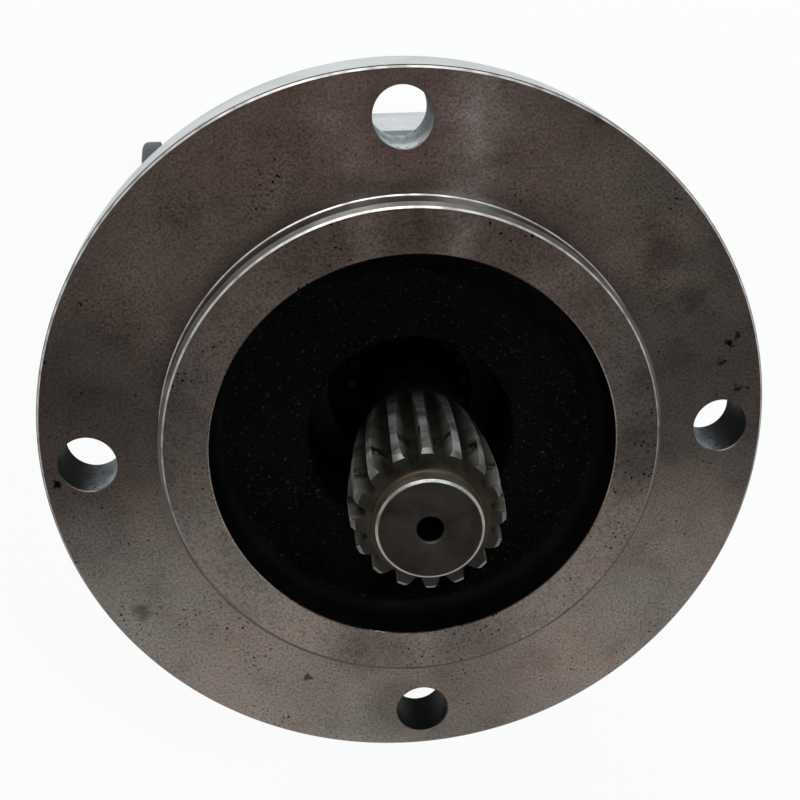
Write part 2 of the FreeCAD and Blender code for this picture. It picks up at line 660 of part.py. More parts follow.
# Rollers: plain hardened cylinders that turn in the pockets of the stator
for i in range(count):
    roller = keep(doc.addObject("Part::Cylinder", f"roller_{i + 1}"))
    roller.Label = f"roller_{i + 1}"
    roller.setExpression("Radius", "Size.roller_radius")
    roller.setExpression("Height", "Size.set_width - 2 * Size.run_gap")
    turn = math.radians(roller_step * (i + 0.5))
    roller.Placement.Base = FreeCAD.Vector(size("roller_circle") * math.cos(turn),
                                           size("roller_circle") * math.sin(turn),
                                           stator_rear + size("run_gap"))


# Rotor: its lobes follow the path of the roller centres, set in by a roller
def rotor_outline():
    lobes = count - 1
    reach = size("roller_circle")
    offset = size("roller_radius") + size("run_gap")
    points = []
    for i in range(lobes * 16):
        turn = 2 * math.pi * i / (lobes * 16)
        x = reach * math.cos(turn) + size("eccentricity") * math.cos(count * turn)
        y = reach * math.sin(turn) + size("eccentricity") * math.sin(count * turn)
        slope_x = -reach * math.sin(turn) - size("eccentricity") * count * math.sin(count * turn)
        slope_y = reach * math.cos(turn) + size("eccentricity") * count * math.cos(count * turn)
        length = math.hypot(slope_x, slope_y)
        points.append(FreeCAD.Vector(x - offset * slope_y / length, y + offset * slope_x / length, 0))
    curve = Part.BSplineCurve()
    curve.interpolate(Points=points, PeriodicFlag=True)
    return Part.Face(Part.Wire(curve.toShape()))


def tooth_half(radius):
    return size("tooth_half") + (size("tip_front") - radius) * size("flank_slope")


rotor_height = size("set_width") - 2 * size("run_gap")
rotor_shape = rotor_outline().extrude(FreeCAD.Vector(0, 0, rotor_height))
bottom, top = size("rotor_minor") - 2, size("rotor_major")
corners = [(bottom, -1), (top, -1), (top, 1), (bottom, 1)]
space = [FreeCAD.Vector(r, side * (tooth_half(r) + size("spline_gap")), -1) for r, side in corners]
space = Part.Face(Part.makePolygon(space + space[:1])).extrude(FreeCAD.Vector(0, 0, rotor_height + 2))
teeth = int(size("tooth_count"))
rotor_shape = rotor_shape.cut(disc(size("rotor_minor"), -1, rotor_height + 2))
rotor_shape = rotor_shape.cut(turned_copies(space, teeth, 360.0 / teeth))
feature("rotor", rotor_shape, FreeCAD.Placement(
    FreeCAD.Vector(size("eccentricity"), 0, stator_rear + size("run_gap")), FreeCAD.Rotation()))

# Drive link: crowned spline at each end, a neck between and a ball nose.
# Its own Z axis runs through the output coupling, where its origin lies.
TOOTH_FRONT = "(Size.tooth_front - Size.pivot_height)"
LINK_END = "(Size.link_end - Size.pivot_height)"
tail_centre = -(pivot - rotor_level) / math.cos(lean)
nose_centre = -(pivot - nose_level) / math.cos(lean)
TAIL = f"{tail_centre}"
link = new_body("drive_link")
revolve(link, "core", [
    ("0", LINK_END),
    ("Size.boss_radius - Size.boss_chamfer", LINK_END),
    ("Size.boss_radius", f"{LINK_END} - Size.boss_chamfer"),
    ("Size.boss_radius", f"{TOOTH_FRONT} + Size.boss_round"),
    ("Size.boss_radius + Size.boss_round / 3", f"{TOOTH_FRONT} + Size.boss_round / 3"),
    ("Size.boss_radius + Size.boss_round", TOOTH_FRONT),
    ("Size.root_front", TOOTH_FRONT),
    ("Size.root_middle", f"{TOOTH_FRONT} - 13"),
    ("Size.root_front", f"{TOOTH_FRONT} - 34"),
    ("Size.link_neck", f"{TOOTH_FRONT} - 52"),
    ("Size.link_neck", f"{TAIL} + Size.tail_half + 4"),
    ("Size.tail_root", f"{TAIL} + Size.tail_half"),
    ("Size.tail_root", f"{TAIL} - Size.tail_half + 1"),
    ("Size.tail_root - 1", f"{TAIL} - Size.tail_half"),
    ("Size.nose_neck", f"{TAIL} - Size.tail_half"),
    ("Size.nose_neck", f"{nose_centre}"),
    ("0", f"{nose_centre}"),
])
nose = link.newObject("PartDesign::AdditiveSphere", "ball_nose")
nose.setExpression("Radius", "Size.nose_radius")
nose.Placement.Base = FreeCAD.Vector(0, 0, nose_centre)
link.Tip = nose
hole = new_sketch(link, "centre_sketch", "XY_Plane", LINK_END)
circle(hole, "Size.centre_hole")
cut(link, "centre_hole", hole, "Size.centre_depth")


def tooth(body, name, sections, base):
    """A tooth lofted through sections of level, tip radius and thinning."""
    sketches = []
    for i, (level, tip, thinning) in enumerate(sections):
        sketch = new_sketch(body, f"{name}_{i}", "XY_Plane", level)
        half = "(Size.tooth_half + (Size.tip_front - {}) * Size.flank_slope - {})"
        foot, crest = half.format(base, thinning), half.format(tip, thinning)
        polygon(sketch, [(base, f"-{foot}"), (tip, f"-{crest}"), (tip, crest), (base, foot)])
        sketches.append(sketch)
    loft = body.newObject("PartDesign::AdditiveLoft", name)
    loft.Profile = sketches[0]
    loft.Sections = sketches[1:]
    loft.Ruled = True
    doc.recompute()
    return around(body, name + "_round", loft, "Size.tooth_count")


tooth(link, "output_tooth", [
    (TOOTH_FRONT, "Size.tip_chamfer", "0"),
    (f"{TOOTH_FRONT} - 1.2", "Size.tip_front", "0"),
    (f"{TOOTH_FRONT} - 12.5", "Size.tip_crown", "0"),
    (f"{TOOTH_FRONT} - 28", "Size.tip_slope", "0"),
    (f"{TOOTH_FRONT} - 40", "Size.tip_rear", "0"),
    (f"{TOOTH_FRONT} - 52", "Size.link_neck - 0.3", "0"),
], "(Size.link_neck - 1)")
RELIEF = "Size.tail_relief"
tooth(link, "inner_tooth", [
    (f"{TAIL} + Size.tail_half", f"(Size.tail_tip - {RELIEF})", RELIEF),
    (f"{TAIL} + Size.tail_half / 2", f"(Size.tail_tip - {RELIEF} / 4)", f"{RELIEF} / 4"),
    (TAIL, "Size.tail_tip", "0"),
    (f"{TAIL} - Size.tail_half / 2", f"(Size.tail_tip - {RELIEF} / 4)", f"{RELIEF} / 4"),
    (f"{TAIL} - Size.tail_half", f"(Size.tail_tip - {RELIEF})", RELIEF),
], "(Size.link_neck - 1)")
link.Placement = FreeCAD.Placement(FreeCAD.Vector(0, 0, pivot),
                                   FreeCAD.Rotation(FreeCAD.Vector(0, 1, 0), -math.degrees(lean)))

# Commutator: the orbiting ring valve, its seal and the bushing for the nose
commutator = new_body("commutator")
RUN = "Size.run_gap"
revolve(commutator, "ring", [
    ("Size.bush_outer", f"{RING_REAR} + {RUN}"),
    (LAND_OUTER, f"{RING_REAR} + {RUN}"),
    (LAND_OUTER, f"{MANIFOLD_REAR} - {RUN}"),
    (LAND_INNER, f"{MANIFOLD_REAR} - {RUN}"),
    (LAND_INNER, f"{MANIFOLD_REAR} - {RUN} - Size.commutator_recess"),
    ("Size.commutator_hub", f"{MANIFOLD_REAR} - {RUN} - Size.commutator_recess"),
    ("Size.commutator_hub", f"{MANIFOLD_REAR} - {RUN}"),
    ("Size.bush_outer", f"{MANIFOLD_REAR} - {RUN}"),
])
holes(commutator, "through_hole", "Size.commutator_drill",
      f"({LAND_INNER} + Size.commutator_hub) / 2", "0",
      f"{MANIFOLD_REAR} - Size.commutator_recess / 2", "Size.ring_thickness",
      "Size.commutator_drills")
ring_groove(commutator, "lip_groove", LIP_INNER, "Size.lip_width", f"{RING_REAR} + {RUN}",
            "Size.lip_depth", upward=True)
off_axis = FreeCAD.Placement(FreeCAD.Vector(nose_offset, 0, 0), FreeCAD.Rotation())
commutator.Placement = off_axis
lip_level = ring_rear + size("run_gap") + 0.02
lip_height = size("lip_depth") - gap
lip = disc(measure(LIP_INNER) + size("lip_width") - gap, lip_level, lip_height).cut(
    disc(measure(LIP_INNER) + gap, lip_level - 1, lip_height + 2))
feature("commutator_seal", lip, off_axis)
bush_level = nose_level - size("bush_length") / 2
bushing = disc(size("bush_outer"), bush_level, size("bush_length")).cut(
    disc(size("nose_radius") + size("bush_gap"), bush_level - 1, size("bush_length") + 2))
feature("nose_bushing", bushing, off_axis)

doc.recompute()
for thing in doc.Objects:
    if {"Invalid", "Error"} & set(thing.State):
        raise RuntimeError(f"{thing.Label} failed: {thing.State}")
os.makedirs("parts", exist_ok=True)
for part in parts:
    if part.Shape.isNull() or not part.Shape.isValid():
        raise RuntimeError(f"{part.Label} has no valid shape")
    part.Shape.exportStep(f"parts/{part.Label}.step")
    print(part.Label, len(part.Shape.Solids), round(part.Shape.Volume, 1), round(part.Shape.BoundBox.ZMin, 2),
          round(part.Shape.BoundBox.ZMax, 2))
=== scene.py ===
import math

import bmesh
import bpy
from mathutils import Matrix, Vector, noise


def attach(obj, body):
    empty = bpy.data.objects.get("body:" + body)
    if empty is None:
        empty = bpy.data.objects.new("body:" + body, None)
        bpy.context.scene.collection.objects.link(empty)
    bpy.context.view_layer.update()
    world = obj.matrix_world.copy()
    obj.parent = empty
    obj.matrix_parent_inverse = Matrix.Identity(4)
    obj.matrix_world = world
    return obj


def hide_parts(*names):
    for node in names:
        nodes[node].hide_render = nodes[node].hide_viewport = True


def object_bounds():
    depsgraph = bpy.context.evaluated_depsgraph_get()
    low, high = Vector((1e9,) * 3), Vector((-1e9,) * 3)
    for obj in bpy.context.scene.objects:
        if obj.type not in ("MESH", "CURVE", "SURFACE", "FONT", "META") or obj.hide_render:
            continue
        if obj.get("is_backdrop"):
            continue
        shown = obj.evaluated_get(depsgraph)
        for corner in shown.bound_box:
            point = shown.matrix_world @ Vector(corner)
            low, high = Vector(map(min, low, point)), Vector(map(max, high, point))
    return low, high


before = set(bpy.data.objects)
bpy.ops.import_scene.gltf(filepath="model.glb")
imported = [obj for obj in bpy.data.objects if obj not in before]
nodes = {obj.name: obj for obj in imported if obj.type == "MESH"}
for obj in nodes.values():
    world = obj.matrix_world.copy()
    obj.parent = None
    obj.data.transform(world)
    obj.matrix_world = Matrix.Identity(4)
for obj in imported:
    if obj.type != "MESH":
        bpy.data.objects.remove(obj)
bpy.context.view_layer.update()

MM = 0.001

# Mounting housing: one grey iron casting, from the round flange back to the neck that
# the other sections are bolted to. The flange, its spigot and the bores are turned
# bright; the rim and neck are sprayed silver grey, and the cavity is painted black.
FLANGE_RADIUS = 91.25
FLANGE_BACK = -16.4
RIM_CHAMFER = 0.6
RIM_ROUND = 1.6
PILOT_RADIUS = 62.5
PILOT_TOP = 7.5
PILOT_CHAMFER = 1.3
PILOT_FOOT = 0.3
CAVITY_RADIUS = 50.5
CAVITY_FLOOR = -5.3
CAVITY_ROUND = 4.5
THROAT_RADIUS = 26.15
THROAT_CHAMFER = 0.6
NECK_RADIUS = 60.0
NECK_ROUND = 5.0
NECK_END = -38.0
HOLE_RADIUS = 7.05
HOLE_CIRCLE = 80.0
DRAIN_TURN = math.radians(-180 / 7)
DRAIN_LEVEL = -27.5
DRAIN_FACE = 58.6
CREASE = 28


def arc(centre, radius, start, end, steps):
    """Profile points on an arc, angles in degrees, in the plane of radius and height."""
    turns = [math.radians(start + (end - start) * i / steps) for i in range(steps + 1)]
    return [(centre[0] + radius * math.cos(t), centre[1] + radius * math.sin(t)) for t in turns]


def lathe(profile, steps):
    """A turned mesh: the profile in millimetres spun about the Z axis."""
    bm = bmesh.new()
    verts = [bm.verts.new((r * MM, 0, z * MM)) for r, z in profile]
    edges = [bm.edges.new(pair) for pair in zip(verts, verts[1:])]
    edges.append(bm.edges.new((verts[-1], verts[0])))
    bmesh.ops.spin(bm, geom=verts + edges, cent=(0, 0, 0), axis=(0, 0, 1), angle=2 * math.pi,
                   steps=steps, use_merge=True, use_duplicate=False)
    bmesh.ops.remove_doubles(bm, verts=bm.verts, dist=1e-7)
    bmesh.ops.recalc_face_normals(bm, faces=bm.faces)
    return bm


def piece_from(bm, name, materials, crease=CREASE):
    """An object made from the bmesh, smooth but for edges sharper than the crease angle."""
    mesh = bpy.data.meshes.new(name)
    bm.to_mesh(mesh)
    bm.free()
    piece = bpy.data.objects.new(name, mesh)
    bpy.context.scene.collection.objects.link(piece)
    for material in materials:
        mesh.materials.append(material)
    mesh.shade_smooth()
    mesh.set_sharp_from_angle(angle=math.radians(crease))
    return piece


def cut_away(piece, cutter):
    """Takes the cutter out of the piece for good, and deletes the cutter."""
    step = piece.modifiers.new("cut", "BOOLEAN")
    step.operation = "DIFFERENCE"
    step.solver = "EXACT"
    step.object = cutter
    bpy.context.view_layer.update()
    evaluated = piece.evaluated_get(bpy.context.evaluated_depsgraph_get())
    mesh = bpy.data.meshes.new_from_object(evaluated)
    piece.modifiers.clear()
    piece.data = mesh
    mesh.shade_smooth()
    mesh.set_sharp_from_angle(angle=math.radians(CREASE))
    bpy.data.objects.remove(cutter)


def srgb(code):
    """A hex colour as the linear values that a shader reads."""
    parts = [int(code[i:i + 2], 16) / 255 for i in (1, 3, 5)]
    linear = [p / 12.92 if p <= 0.04045 else ((p + 0.055) / 1.055) ** 2.4 for p in parts]
    return (*linear, 1.0)


def add(tree, kind, inputs=None, stops=(), **settings):
    """Adds a node, sets its properties, and gives each named socket a value or a link.

    A colour ramp takes its stops as pairs of a position and a hex colour."""
    made = tree.nodes.new(kind)
    for name, value in settings.items():
        setattr(made, name, value)
    for socket, value in (inputs or {}).items():
        if isinstance(value, bpy.types.NodeSocket):
            tree.links.new(value, made.inputs[socket])
        else:
            made.inputs[socket].default_value = value
    if stops:
        elements = made.color_ramp.elements
        while len(elements) < len(stops):
            elements.new(0.5)
        for element, (position, code) in zip(elements, stops):
            element.position = position
            element.color = srgb(code)
    return made


def start_material(name):
    """An empty node material, with its tree and the object coordinates of the piece."""
    material = bpy.data.materials.new(name)
    material.use_nodes = True
    tree = material.node_tree
    tree.nodes.clear()
    place = add(tree, "ShaderNodeTexCoord").outputs["Object"]
    return material, tree, place


def turned_coordinates(tree, place):
    """Distance from the axis in metres, for rings that a lathe tool leaves."""
    split = add(tree, "ShaderNodeSeparateXYZ", {0: place})
    flat = add(tree, "ShaderNodeCombineXYZ", {0: split.outputs[0], 1: split.outputs[1]}).outputs[0]
    return add(tree, "ShaderNodeVectorMath", {0: flat}, operation="LENGTH").outputs["Value"]


# Where the black marks and the painted shade lie on the flange and the spigot: x, y and radius in
# millimetres, and how dark they are. The small strong ones are tool marks and soot; the wide weak
# ones are painted shade that dims broad parts of the face and the top of the spigot.
MARKS_AND_SHADE = [(82.8, 24.6, 1.5, 0.9), (81.3, 22.4, 1.7, 1.0), (80.8, 20.2, 0.9, 0.9),
         (78.9, 17.6, 1.3, 0.9), (84.0, 10.3, 1.6, 0.95), (86.0, 9.4, 1.3, 0.8),
         (78.2, 9.1, 1.2, 0.7), (81.8, 14.8, 4.0, 0.3), (-87.9, -4.8, 1.8, 1.0),
         (-84.2, -7.4, 1.2, 0.7), (70.2, 34.6, 6.0, 0.45), (62.7, 45.7, 7.0, 0.3),
         (45.4, 79.8, 3.6, 0.5), (2.1, 57.5, 3.0, 0.35), (10.0, 57.0, 3.4, 0.35),
         (13.5, 59.5, 4.5, 0.3), (-72.0, -42.0, 3.4, 0.5), (-31.0, -66.0, 1.3, 0.9),
         (-84.0, 8.0, 42.0, 0.45), (84.0, 12.0, 40.0, 0.28), (-22.0, 51.0, 13.0, 0.3),
         (0.0, 56.0, 13.0, 0.3), (22.0, 51.0, 13.0, 0.3), (10.0, -78.0, 34.0, 0.36),
         (-26.0, -74.0, 20.0, 0.16), (-12.0, -57.0, 18.0, 0.45), (13.0, -57.0, 18.0, 0.45),
         (-6.0, -78.0, 17.0, 0.47), (57.0, -3.0, 15.0, 0.4)]

# Turned grey iron: dark metal with fine rings from the tool, which smear every highlight
# along the radius. A brown oil film, greenish patches and small black pits lie over it.
turned_iron, tree, place = start_material("turned_grey_iron")
radius = turned_coordinates(tree, place)
# tool feed of about 0.2 mm, drawn at 0.3 mm so that it shows
feed = add(tree, "ShaderNodeMath", {0: radius, 1: 1 / (0.3 * MM)}, operation="MULTIPLY").outputs[0]
rings = add(tree, "ShaderNodeTexNoise", {"W": feed, "Scale": 1.0, "Detail": 3.0, "Roughness": 0.6},
            noise_dimensions="1D").outputs["Fac"]
clouds = add(tree, "ShaderNodeTexNoise", {"Vector": place, "Scale": 16.0, "Detail": 7.0,
                                          "Roughness": 0.58, "Distortion": 0.5}).outputs["Fac"]
patina = add(tree, "ShaderNodeTexNoise", {"Vector": place, "Scale": 70.0, "Detail": 8.0,
                                          "Roughness": 0.66}).outputs["Fac"]
grain = add(tree, "ShaderNodeTexNoise", {"Vector": place, "Scale": 1500.0, "Detail": 3.0,
                                         "Roughness": 0.7}).outputs["Fac"]
iron = add(tree, "ShaderNodeValToRGB", {"Fac": clouds}, stops=[
    (0.36, "#a29c94"), (0.47, "#a69b93"), (0.56, "#ae9f95"), (0.66, "#9f958f")]).outputs["Color"]
oiled = add(tree, "ShaderNodeValToRGB", {"Fac": clouds}, stops=[
    (0.36, "#b29e92"), (0.50, "#b69a91"), (0.64, "#a9918a")]).outputs["Color"]
film = add(tree, "ShaderNodeVectorMath",
           {0: place, 1: (-10 * MM, 95 * MM, 0)}, operation="DISTANCE").outputs["Value"]
film = add(tree, "ShaderNodeMapRange",
           {0: film, 1: 20 * MM, 2: 100 * MM, 3: 1.0, 4: 0.0}).outputs[0]
iron = add(tree, "ShaderNodeMix", {0: film, 6: iron, 7: oiled}, data_type="RGBA").outputs[2]
mottle = add(tree, "ShaderNodeValToRGB", {"Fac": patina}, stops=[
    (0.32, "#a39d97"), (0.46, "#e8e5e1"), (0.60, "#ffffff")]).outputs["Color"]
iron = add(tree, "ShaderNodeMix", {0: 0.45, 6: iron, 7: mottle}, data_type="RGBA",
           blend_type="MULTIPLY").outputs[2]
speckle = add(tree, "ShaderNodeValToRGB", {"Fac": grain}, stops=[
    (0.32, "#8d8884"), (0.47, "#dedbd8"), (0.62, "#ffffff")]).outputs["Color"]
iron = add(tree, "ShaderNodeMix", {0: 0.8, 6: iron, 7: speckle}, data_type="RGBA",
           blend_type="MULTIPLY").outputs[2]
broken = add(tree, "ShaderNodeTexNoise",
             {"Vector": place, "Scale": 900.0, "Detail": 2.0}).outputs["Color"]
broken = add(tree, "ShaderNodeVectorMath",
             {0: broken, "Scale": 1.2 * MM}, operation="SCALE").outputs[0]
broken = add(tree, "ShaderNodeVectorMath", {0: place, 1: broken}, operation="ADD").outputs[0]
pores = add(tree, "ShaderNodeTexVoronoi", {"Vector": broken, "Scale": 560.0}).outputs["Distance"]
sparse = add(tree, "ShaderNodeTexNoise",
             {"Vector": place, "Scale": 55.0, "Detail": 3.0}).outputs["Fac"]
pit_size = add(tree, "ShaderNodeMapRange",
               {0: sparse, 1: 0.43, 2: 0.66, 3: 0.0, 4: 0.19}).outputs[0]
pits = add(tree, "ShaderNodeMath", {0: pores, 1: pit_size}, operation="LESS_THAN").outputs[0]
iron = add(tree, "ShaderNodeMix",
           {0: pits, 6: iron, 7: srgb("#2a2422")}, data_type="RGBA").outputs[2]

# Black tool marks and soot, and wide patches of painted shade, each with a ragged edge at its place
# on the face
wander = add(tree, "ShaderNodeTexNoise",
             {"Vector": place, "Scale": 380.0, "Detail": 3.0}).outputs["Color"]
wander = add(tree, "ShaderNodeVectorMath",
             {0: wander, 1: (0.5, 0.5, 0.5)}, operation="SUBTRACT").outputs[0]
wander = add(tree, "ShaderNodeVectorMath",
             {0: wander, "Scale": 5 * MM}, operation="SCALE").outputs[0]
flat = add(tree, "ShaderNodeVectorMath", {0: place, 1: (1, 1, 0)}, operation="MULTIPLY").outputs[0]
flat = add(tree, "ShaderNodeVectorMath", {0: flat, 1: wander}, operation="ADD").outputs[0]
soot = None
for x, y, reach, strength in MARKS_AND_SHADE:
    away = add(tree, "ShaderNodeVectorMath",
               {0: flat, 1: (x * MM, y * MM, 0)}, operation="DISTANCE").outputs["Value"]
    spot = add(tree, "ShaderNodeMapRange",
               {0: away, 1: 0.35 * reach * MM, 2: reach * MM, 3: strength, 4: 0.0}).outputs[0]
    if soot is None:
        soot = spot
    else:
        soot = add(tree, "ShaderNodeMath", {0: soot, 1: spot}, operation="MAXIMUM").outputs[0]
iron = add(tree, "ShaderNodeMix",
           {0: soot, 6: iron, 7: srgb("#1a110b")}, data_type="RGBA").outputs[2]

gloss = add(tree, "ShaderNodeMapRange", {0: patina, 1: 0.3, 2: 0.7, 3: 0.12, 4: 0.18}).outputs[0]
tool_marks = add(tree, "ShaderNodeBump",
                 {"Height": rings, "Strength": 0.6, "Distance": 0.03 * MM}).outputs[0]
tool_marks = add(tree, "ShaderNodeBump", {"Height": grain, "Normal": tool_marks, "Strength": 0.08,
                                          "Distance": 0.03 * MM}).outputs[0]
around = add(tree, "ShaderNodeTangent", direction_type="RADIAL", axis="Z").outputs[0]
shader = add(tree, "ShaderNodeBsdfPrincipled", {
    "Base Color": iron, "Metallic": 0.94, "Roughness": gloss, "Anisotropic": 1.0,
    "Anisotropic Rotation": 0.25, "Normal": tool_marks, "Tangent": around})
add(tree, "ShaderNodeOutputMaterial", {"Surface": shader.outputs[0]})

# The edges broken by the tool are bare metal, bright towards the top and a dull dark grey lower
# down
polished_edge, tree, place = start_material("polished_iron_edge")
scuffs = add(tree, "ShaderNodeTexNoise",
             {"Vector": place, "Scale": 260.0, "Detail": 5.0}).outputs["Fac"]
bright = add(tree, "ShaderNodeValToRGB", {"Fac": scuffs}, stops=[
    (0.35, "#8f8c88"), (0.6, "#c6c4c0")]).outputs["Color"]
towards_top = add(tree, "ShaderNodeSeparateXYZ", {0: place}).outputs[1]
towards_top = add(tree, "ShaderNodeMapRange", {0: towards_top, 1: -45 * MM, 2: 25 * MM}).outputs[0]
bright = add(tree, "ShaderNodeMix",
             {0: towards_top, 6: srgb("#5d564f"), 7: bright}, data_type="RGBA").outputs[2]
shader = add(tree, "ShaderNodeBsdfPrincipled", {
    "Base Color": bright, "Metallic": 1.0, "Roughness": 0.4})
add(tree, "ShaderNodeOutputMaterial", {"Surface": shader.outputs[0]})

# The side of the spigot and the ends of the splines, turned to size: plain dull grey
spigot_side, tree, place = start_material("turned_spigot_side")
haze = add(tree, "ShaderNodeTexNoise",
           {"Vector": place, "Scale": 120.0, "Detail": 5.0}).outputs["Fac"]
grey = add(tree, "ShaderNodeValToRGB", {"Fac": haze}, stops=[
    (0.35, "#4c4a49"), (0.6, "#64625f")]).outputs["Color"]
shader = add(tree, "ShaderNodeBsdfPrincipled", {
    "Base Color": grey, "Metallic": 1.0, "Roughness": 0.4})
add(tree, "ShaderNodeOutputMaterial", {"Surface": shader.outputs[0]})

# Silver grey enamel, sprayed on in one thick coat over the rough casting. It lies in
# patches of a slightly different grey, and oil and dust have settled in the joints.
SEAMS = (-38.0, -44.0, -62.0, -65.0, -69.0, -72.0, -82.0)
silver_paint, tree, place = start_material("sprayed_silver_grey_enamel")
cast_skin = add(tree, "ShaderNodeTexNoise",
                {"Vector": place, "Scale": 300.0, "Detail": 4.0}).outputs["Fac"]
clouds = add(tree, "ShaderNodeTexNoise",
             {"Vector": place, "Scale": 45.0, "Detail": 6.0}).outputs["Fac"]
paint = add(tree, "ShaderNodeValToRGB", {"Fac": clouds}, stops=[
    (0.3, "#a4a6a6"), (0.55, "#b9bbba"), (0.75, "#c9cac8")]).outputs["Color"]
flakes = add(tree, "ShaderNodeTexVoronoi", {"Vector": place, "Scale": 150.0}).outputs["Color"]
flakes = add(tree, "ShaderNodeSeparateColor", {0: flakes}).outputs[0]
flakes = add(tree, "ShaderNodeValToRGB", {"Fac": flakes}, stops=[
    (0.0, "#c4c8ca"), (0.6, "#ffffff")]).outputs["Color"]
paint = add(tree, "ShaderNodeMix", {0: 0.16, 6: paint, 7: flakes}, data_type="RGBA",
            blend_type="MULTIPLY").outputs[2]
level = add(tree, "ShaderNodeSeparateXYZ", {0: place}).outputs[2]
seam = None
for z in SEAMS:
    away = add(tree, "ShaderNodeMath", {0: level, 1: z * MM}, operation="SUBTRACT").outputs[0]
    away = add(tree, "ShaderNodeMath", {0: away}, operation="ABSOLUTE").outputs[0]
    if seam is None:
        seam = away
    else:
        seam = add(tree, "ShaderNodeMath", {0: seam, 1: away}, operation="MINIMUM").outputs[0]
grime = add(tree, "ShaderNodeMapRange",
            {0: seam, 1: 0.15 * MM, 2: 0.9 * MM, 3: 0.85, 4: 0.0}).outputs[0]
grime = add(tree, "ShaderNodeMath", {0: grime, 1: clouds}, operation="MULTIPLY").outputs[0]
paint = add(tree, "ShaderNodeMix",
            {0: grime, 6: paint, 7: srgb("#2b2a27")}, data_type="RGBA").outputs[2]
# inside the plates the steel is bare, and it is painted near black there as shade for the dark
# inside of the motor
inside_shade = add(tree, "ShaderNodeMath",
             {0: turned_coordinates(tree, place), 1: 58.3 * MM}, operation="LESS_THAN").outputs[0]
ahead = add(tree, "ShaderNodeMath", {0: level, 1: -81.9 * MM}, operation="GREATER_THAN").outputs[0]
inside_shade = add(tree, "ShaderNodeMath", {0: inside_shade, 1: ahead}, operation="MULTIPLY").outputs[0]
paint = add(tree, "ShaderNodeMix",
            {0: inside_shade, 6: paint, 7: srgb("#070605")}, data_type="RGBA").outputs[2]
skin = add(tree, "ShaderNodeBump",
           {"Height": cast_skin, "Strength": 0.35, "Distance": 0.15 * MM}).outputs[0]
shader = add(tree, "ShaderNodeBsdfPrincipled", {
    "Base Color": paint, "Metallic": 0.15, "Roughness": 0.42, "Specular IOR Level": 0.3,
    "Normal": skin})
add(tree, "ShaderNodeOutputMaterial", {"Surface": shader.outputs[0]})

# Walls of the mounting holes: painted light and shade. The side nearest to the axis, which faces
# out through the back of the hole to the bright room, is a lit silver grey; the far side is black
# as if in shade, and noise breaks up the line between them.
hole_wall, tree, place = start_material("bore_with_painted_light_and_shade")
flat = add(tree, "ShaderNodeVectorMath", {0: place, 1: (1, 1, 0)}, operation="MULTIPLY").outputs[0]
outward = add(tree, "ShaderNodeVectorMath", {0: flat}, operation="NORMALIZE").outputs[0]
normal = add(tree, "ShaderNodeNewGeometry").outputs["Normal"]
facing = add(tree, "ShaderNodeVectorMath",
             {0: outward, 1: normal}, operation="DOT_PRODUCT").outputs["Value"]
wall_noise = add(tree, "ShaderNodeTexNoise",
           {"Vector": place, "Scale": 420.0, "Detail": 4.0}).outputs["Fac"]
wall_noise = add(tree, "ShaderNodeMapRange", {0: wall_noise, 1: 0.3, 2: 0.7, 3: 0.43, 4: 0.57}).outputs[0]
facing = add(tree, "ShaderNodeMath",
             {0: facing, 1: 0.5, 2: wall_noise}, operation="MULTIPLY_ADD").outputs[0]
wall = add(tree, "ShaderNodeValToRGB", {"Fac": facing}, stops=[
    (0.24, "#030303"), (0.37, "#2f2f31"), (0.52, "#626366"), (0.7, "#808184"), (0.85, "#a8aaac"),
    (1.0, "#d8dada")]).outputs["Color"]
grit = add(tree, "ShaderNodeTexNoise",
           {"Vector": place, "Scale": 900.0, "Detail": 4.0}).outputs["Fac"]
grit = add(tree, "ShaderNodeValToRGB", {"Fac": grit}, stops=[
    (0.34, "#4a4c4c"), (0.44, "#ffffff")]).outputs["Color"]
wall = add(tree, "ShaderNodeMix",
           {0: 0.9, 6: wall, 7: grit}, data_type="RGBA", blend_type="MULTIPLY").outputs[2]
shader = add(tree, "ShaderNodeBsdfPrincipled", {
    "Base Color": wall, "Roughness": 0.5, "Specular IOR Level": 0.06})
add(tree, "ShaderNodeOutputMaterial", {"Surface": shader.outputs[0]})

# Black primer over the bare casting inside the cavity: a rough skin with small painted glints on
# it, and stains of brown oil
cavity_black, tree, place = start_material("black_primer_on_casting")
lumps = add(tree, "ShaderNodeTexNoise", {"Vector": place, "Scale": 210.0, "Detail": 6.0,
                                         "Roughness": 0.7}).outputs["Fac"]
grit = add(tree, "ShaderNodeTexNoise",
           {"Vector": place, "Scale": 1100.0, "Detail": 3.0}).outputs["Fac"]
stains = add(tree, "ShaderNodeTexNoise",
             {"Vector": place, "Scale": 60.0, "Detail": 6.0}).outputs["Fac"]
black = add(tree, "ShaderNodeValToRGB", {"Fac": stains}, stops=[
    (0.42, "#020202"), (0.58, "#040404"), (0.7, "#0e090a")]).outputs["Color"]
# painted glints: fine light specks added over the black
painted_glints = add(tree, "ShaderNodeValToRGB", {"Fac": grit}, stops=[
    (0.61, "#000000"), (0.78, "#4a3f43")]).outputs["Color"]
black = add(tree, "ShaderNodeMix",
            {0: 0.5, 6: black, 7: painted_glints}, data_type="RGBA", blend_type="ADD").outputs[2]
skin = add(tree, "ShaderNodeBump",
           {"Height": lumps, "Strength": 0.8, "Distance": 0.4 * MM}).outputs[0]
skin = add(tree, "ShaderNodeBump", {"Height": grit, "Normal": skin, "Strength": 0.5,
                                    "Distance": 0.15 * MM}).outputs[0]
wet = add(tree, "ShaderNodeMapRange", {0: lumps, 1: 0.35, 2: 0.65, 3: 0.5, 4: 0.8}).outputs[0]
shader = add(tree, "ShaderNodeBsdfPrincipled", {
    "Base Color": black, "Roughness": wet, "Specular IOR Level": 0.05, "Normal": skin})
add(tree, "ShaderNodeOutputMaterial", {"Surface": shader.outputs[0]})
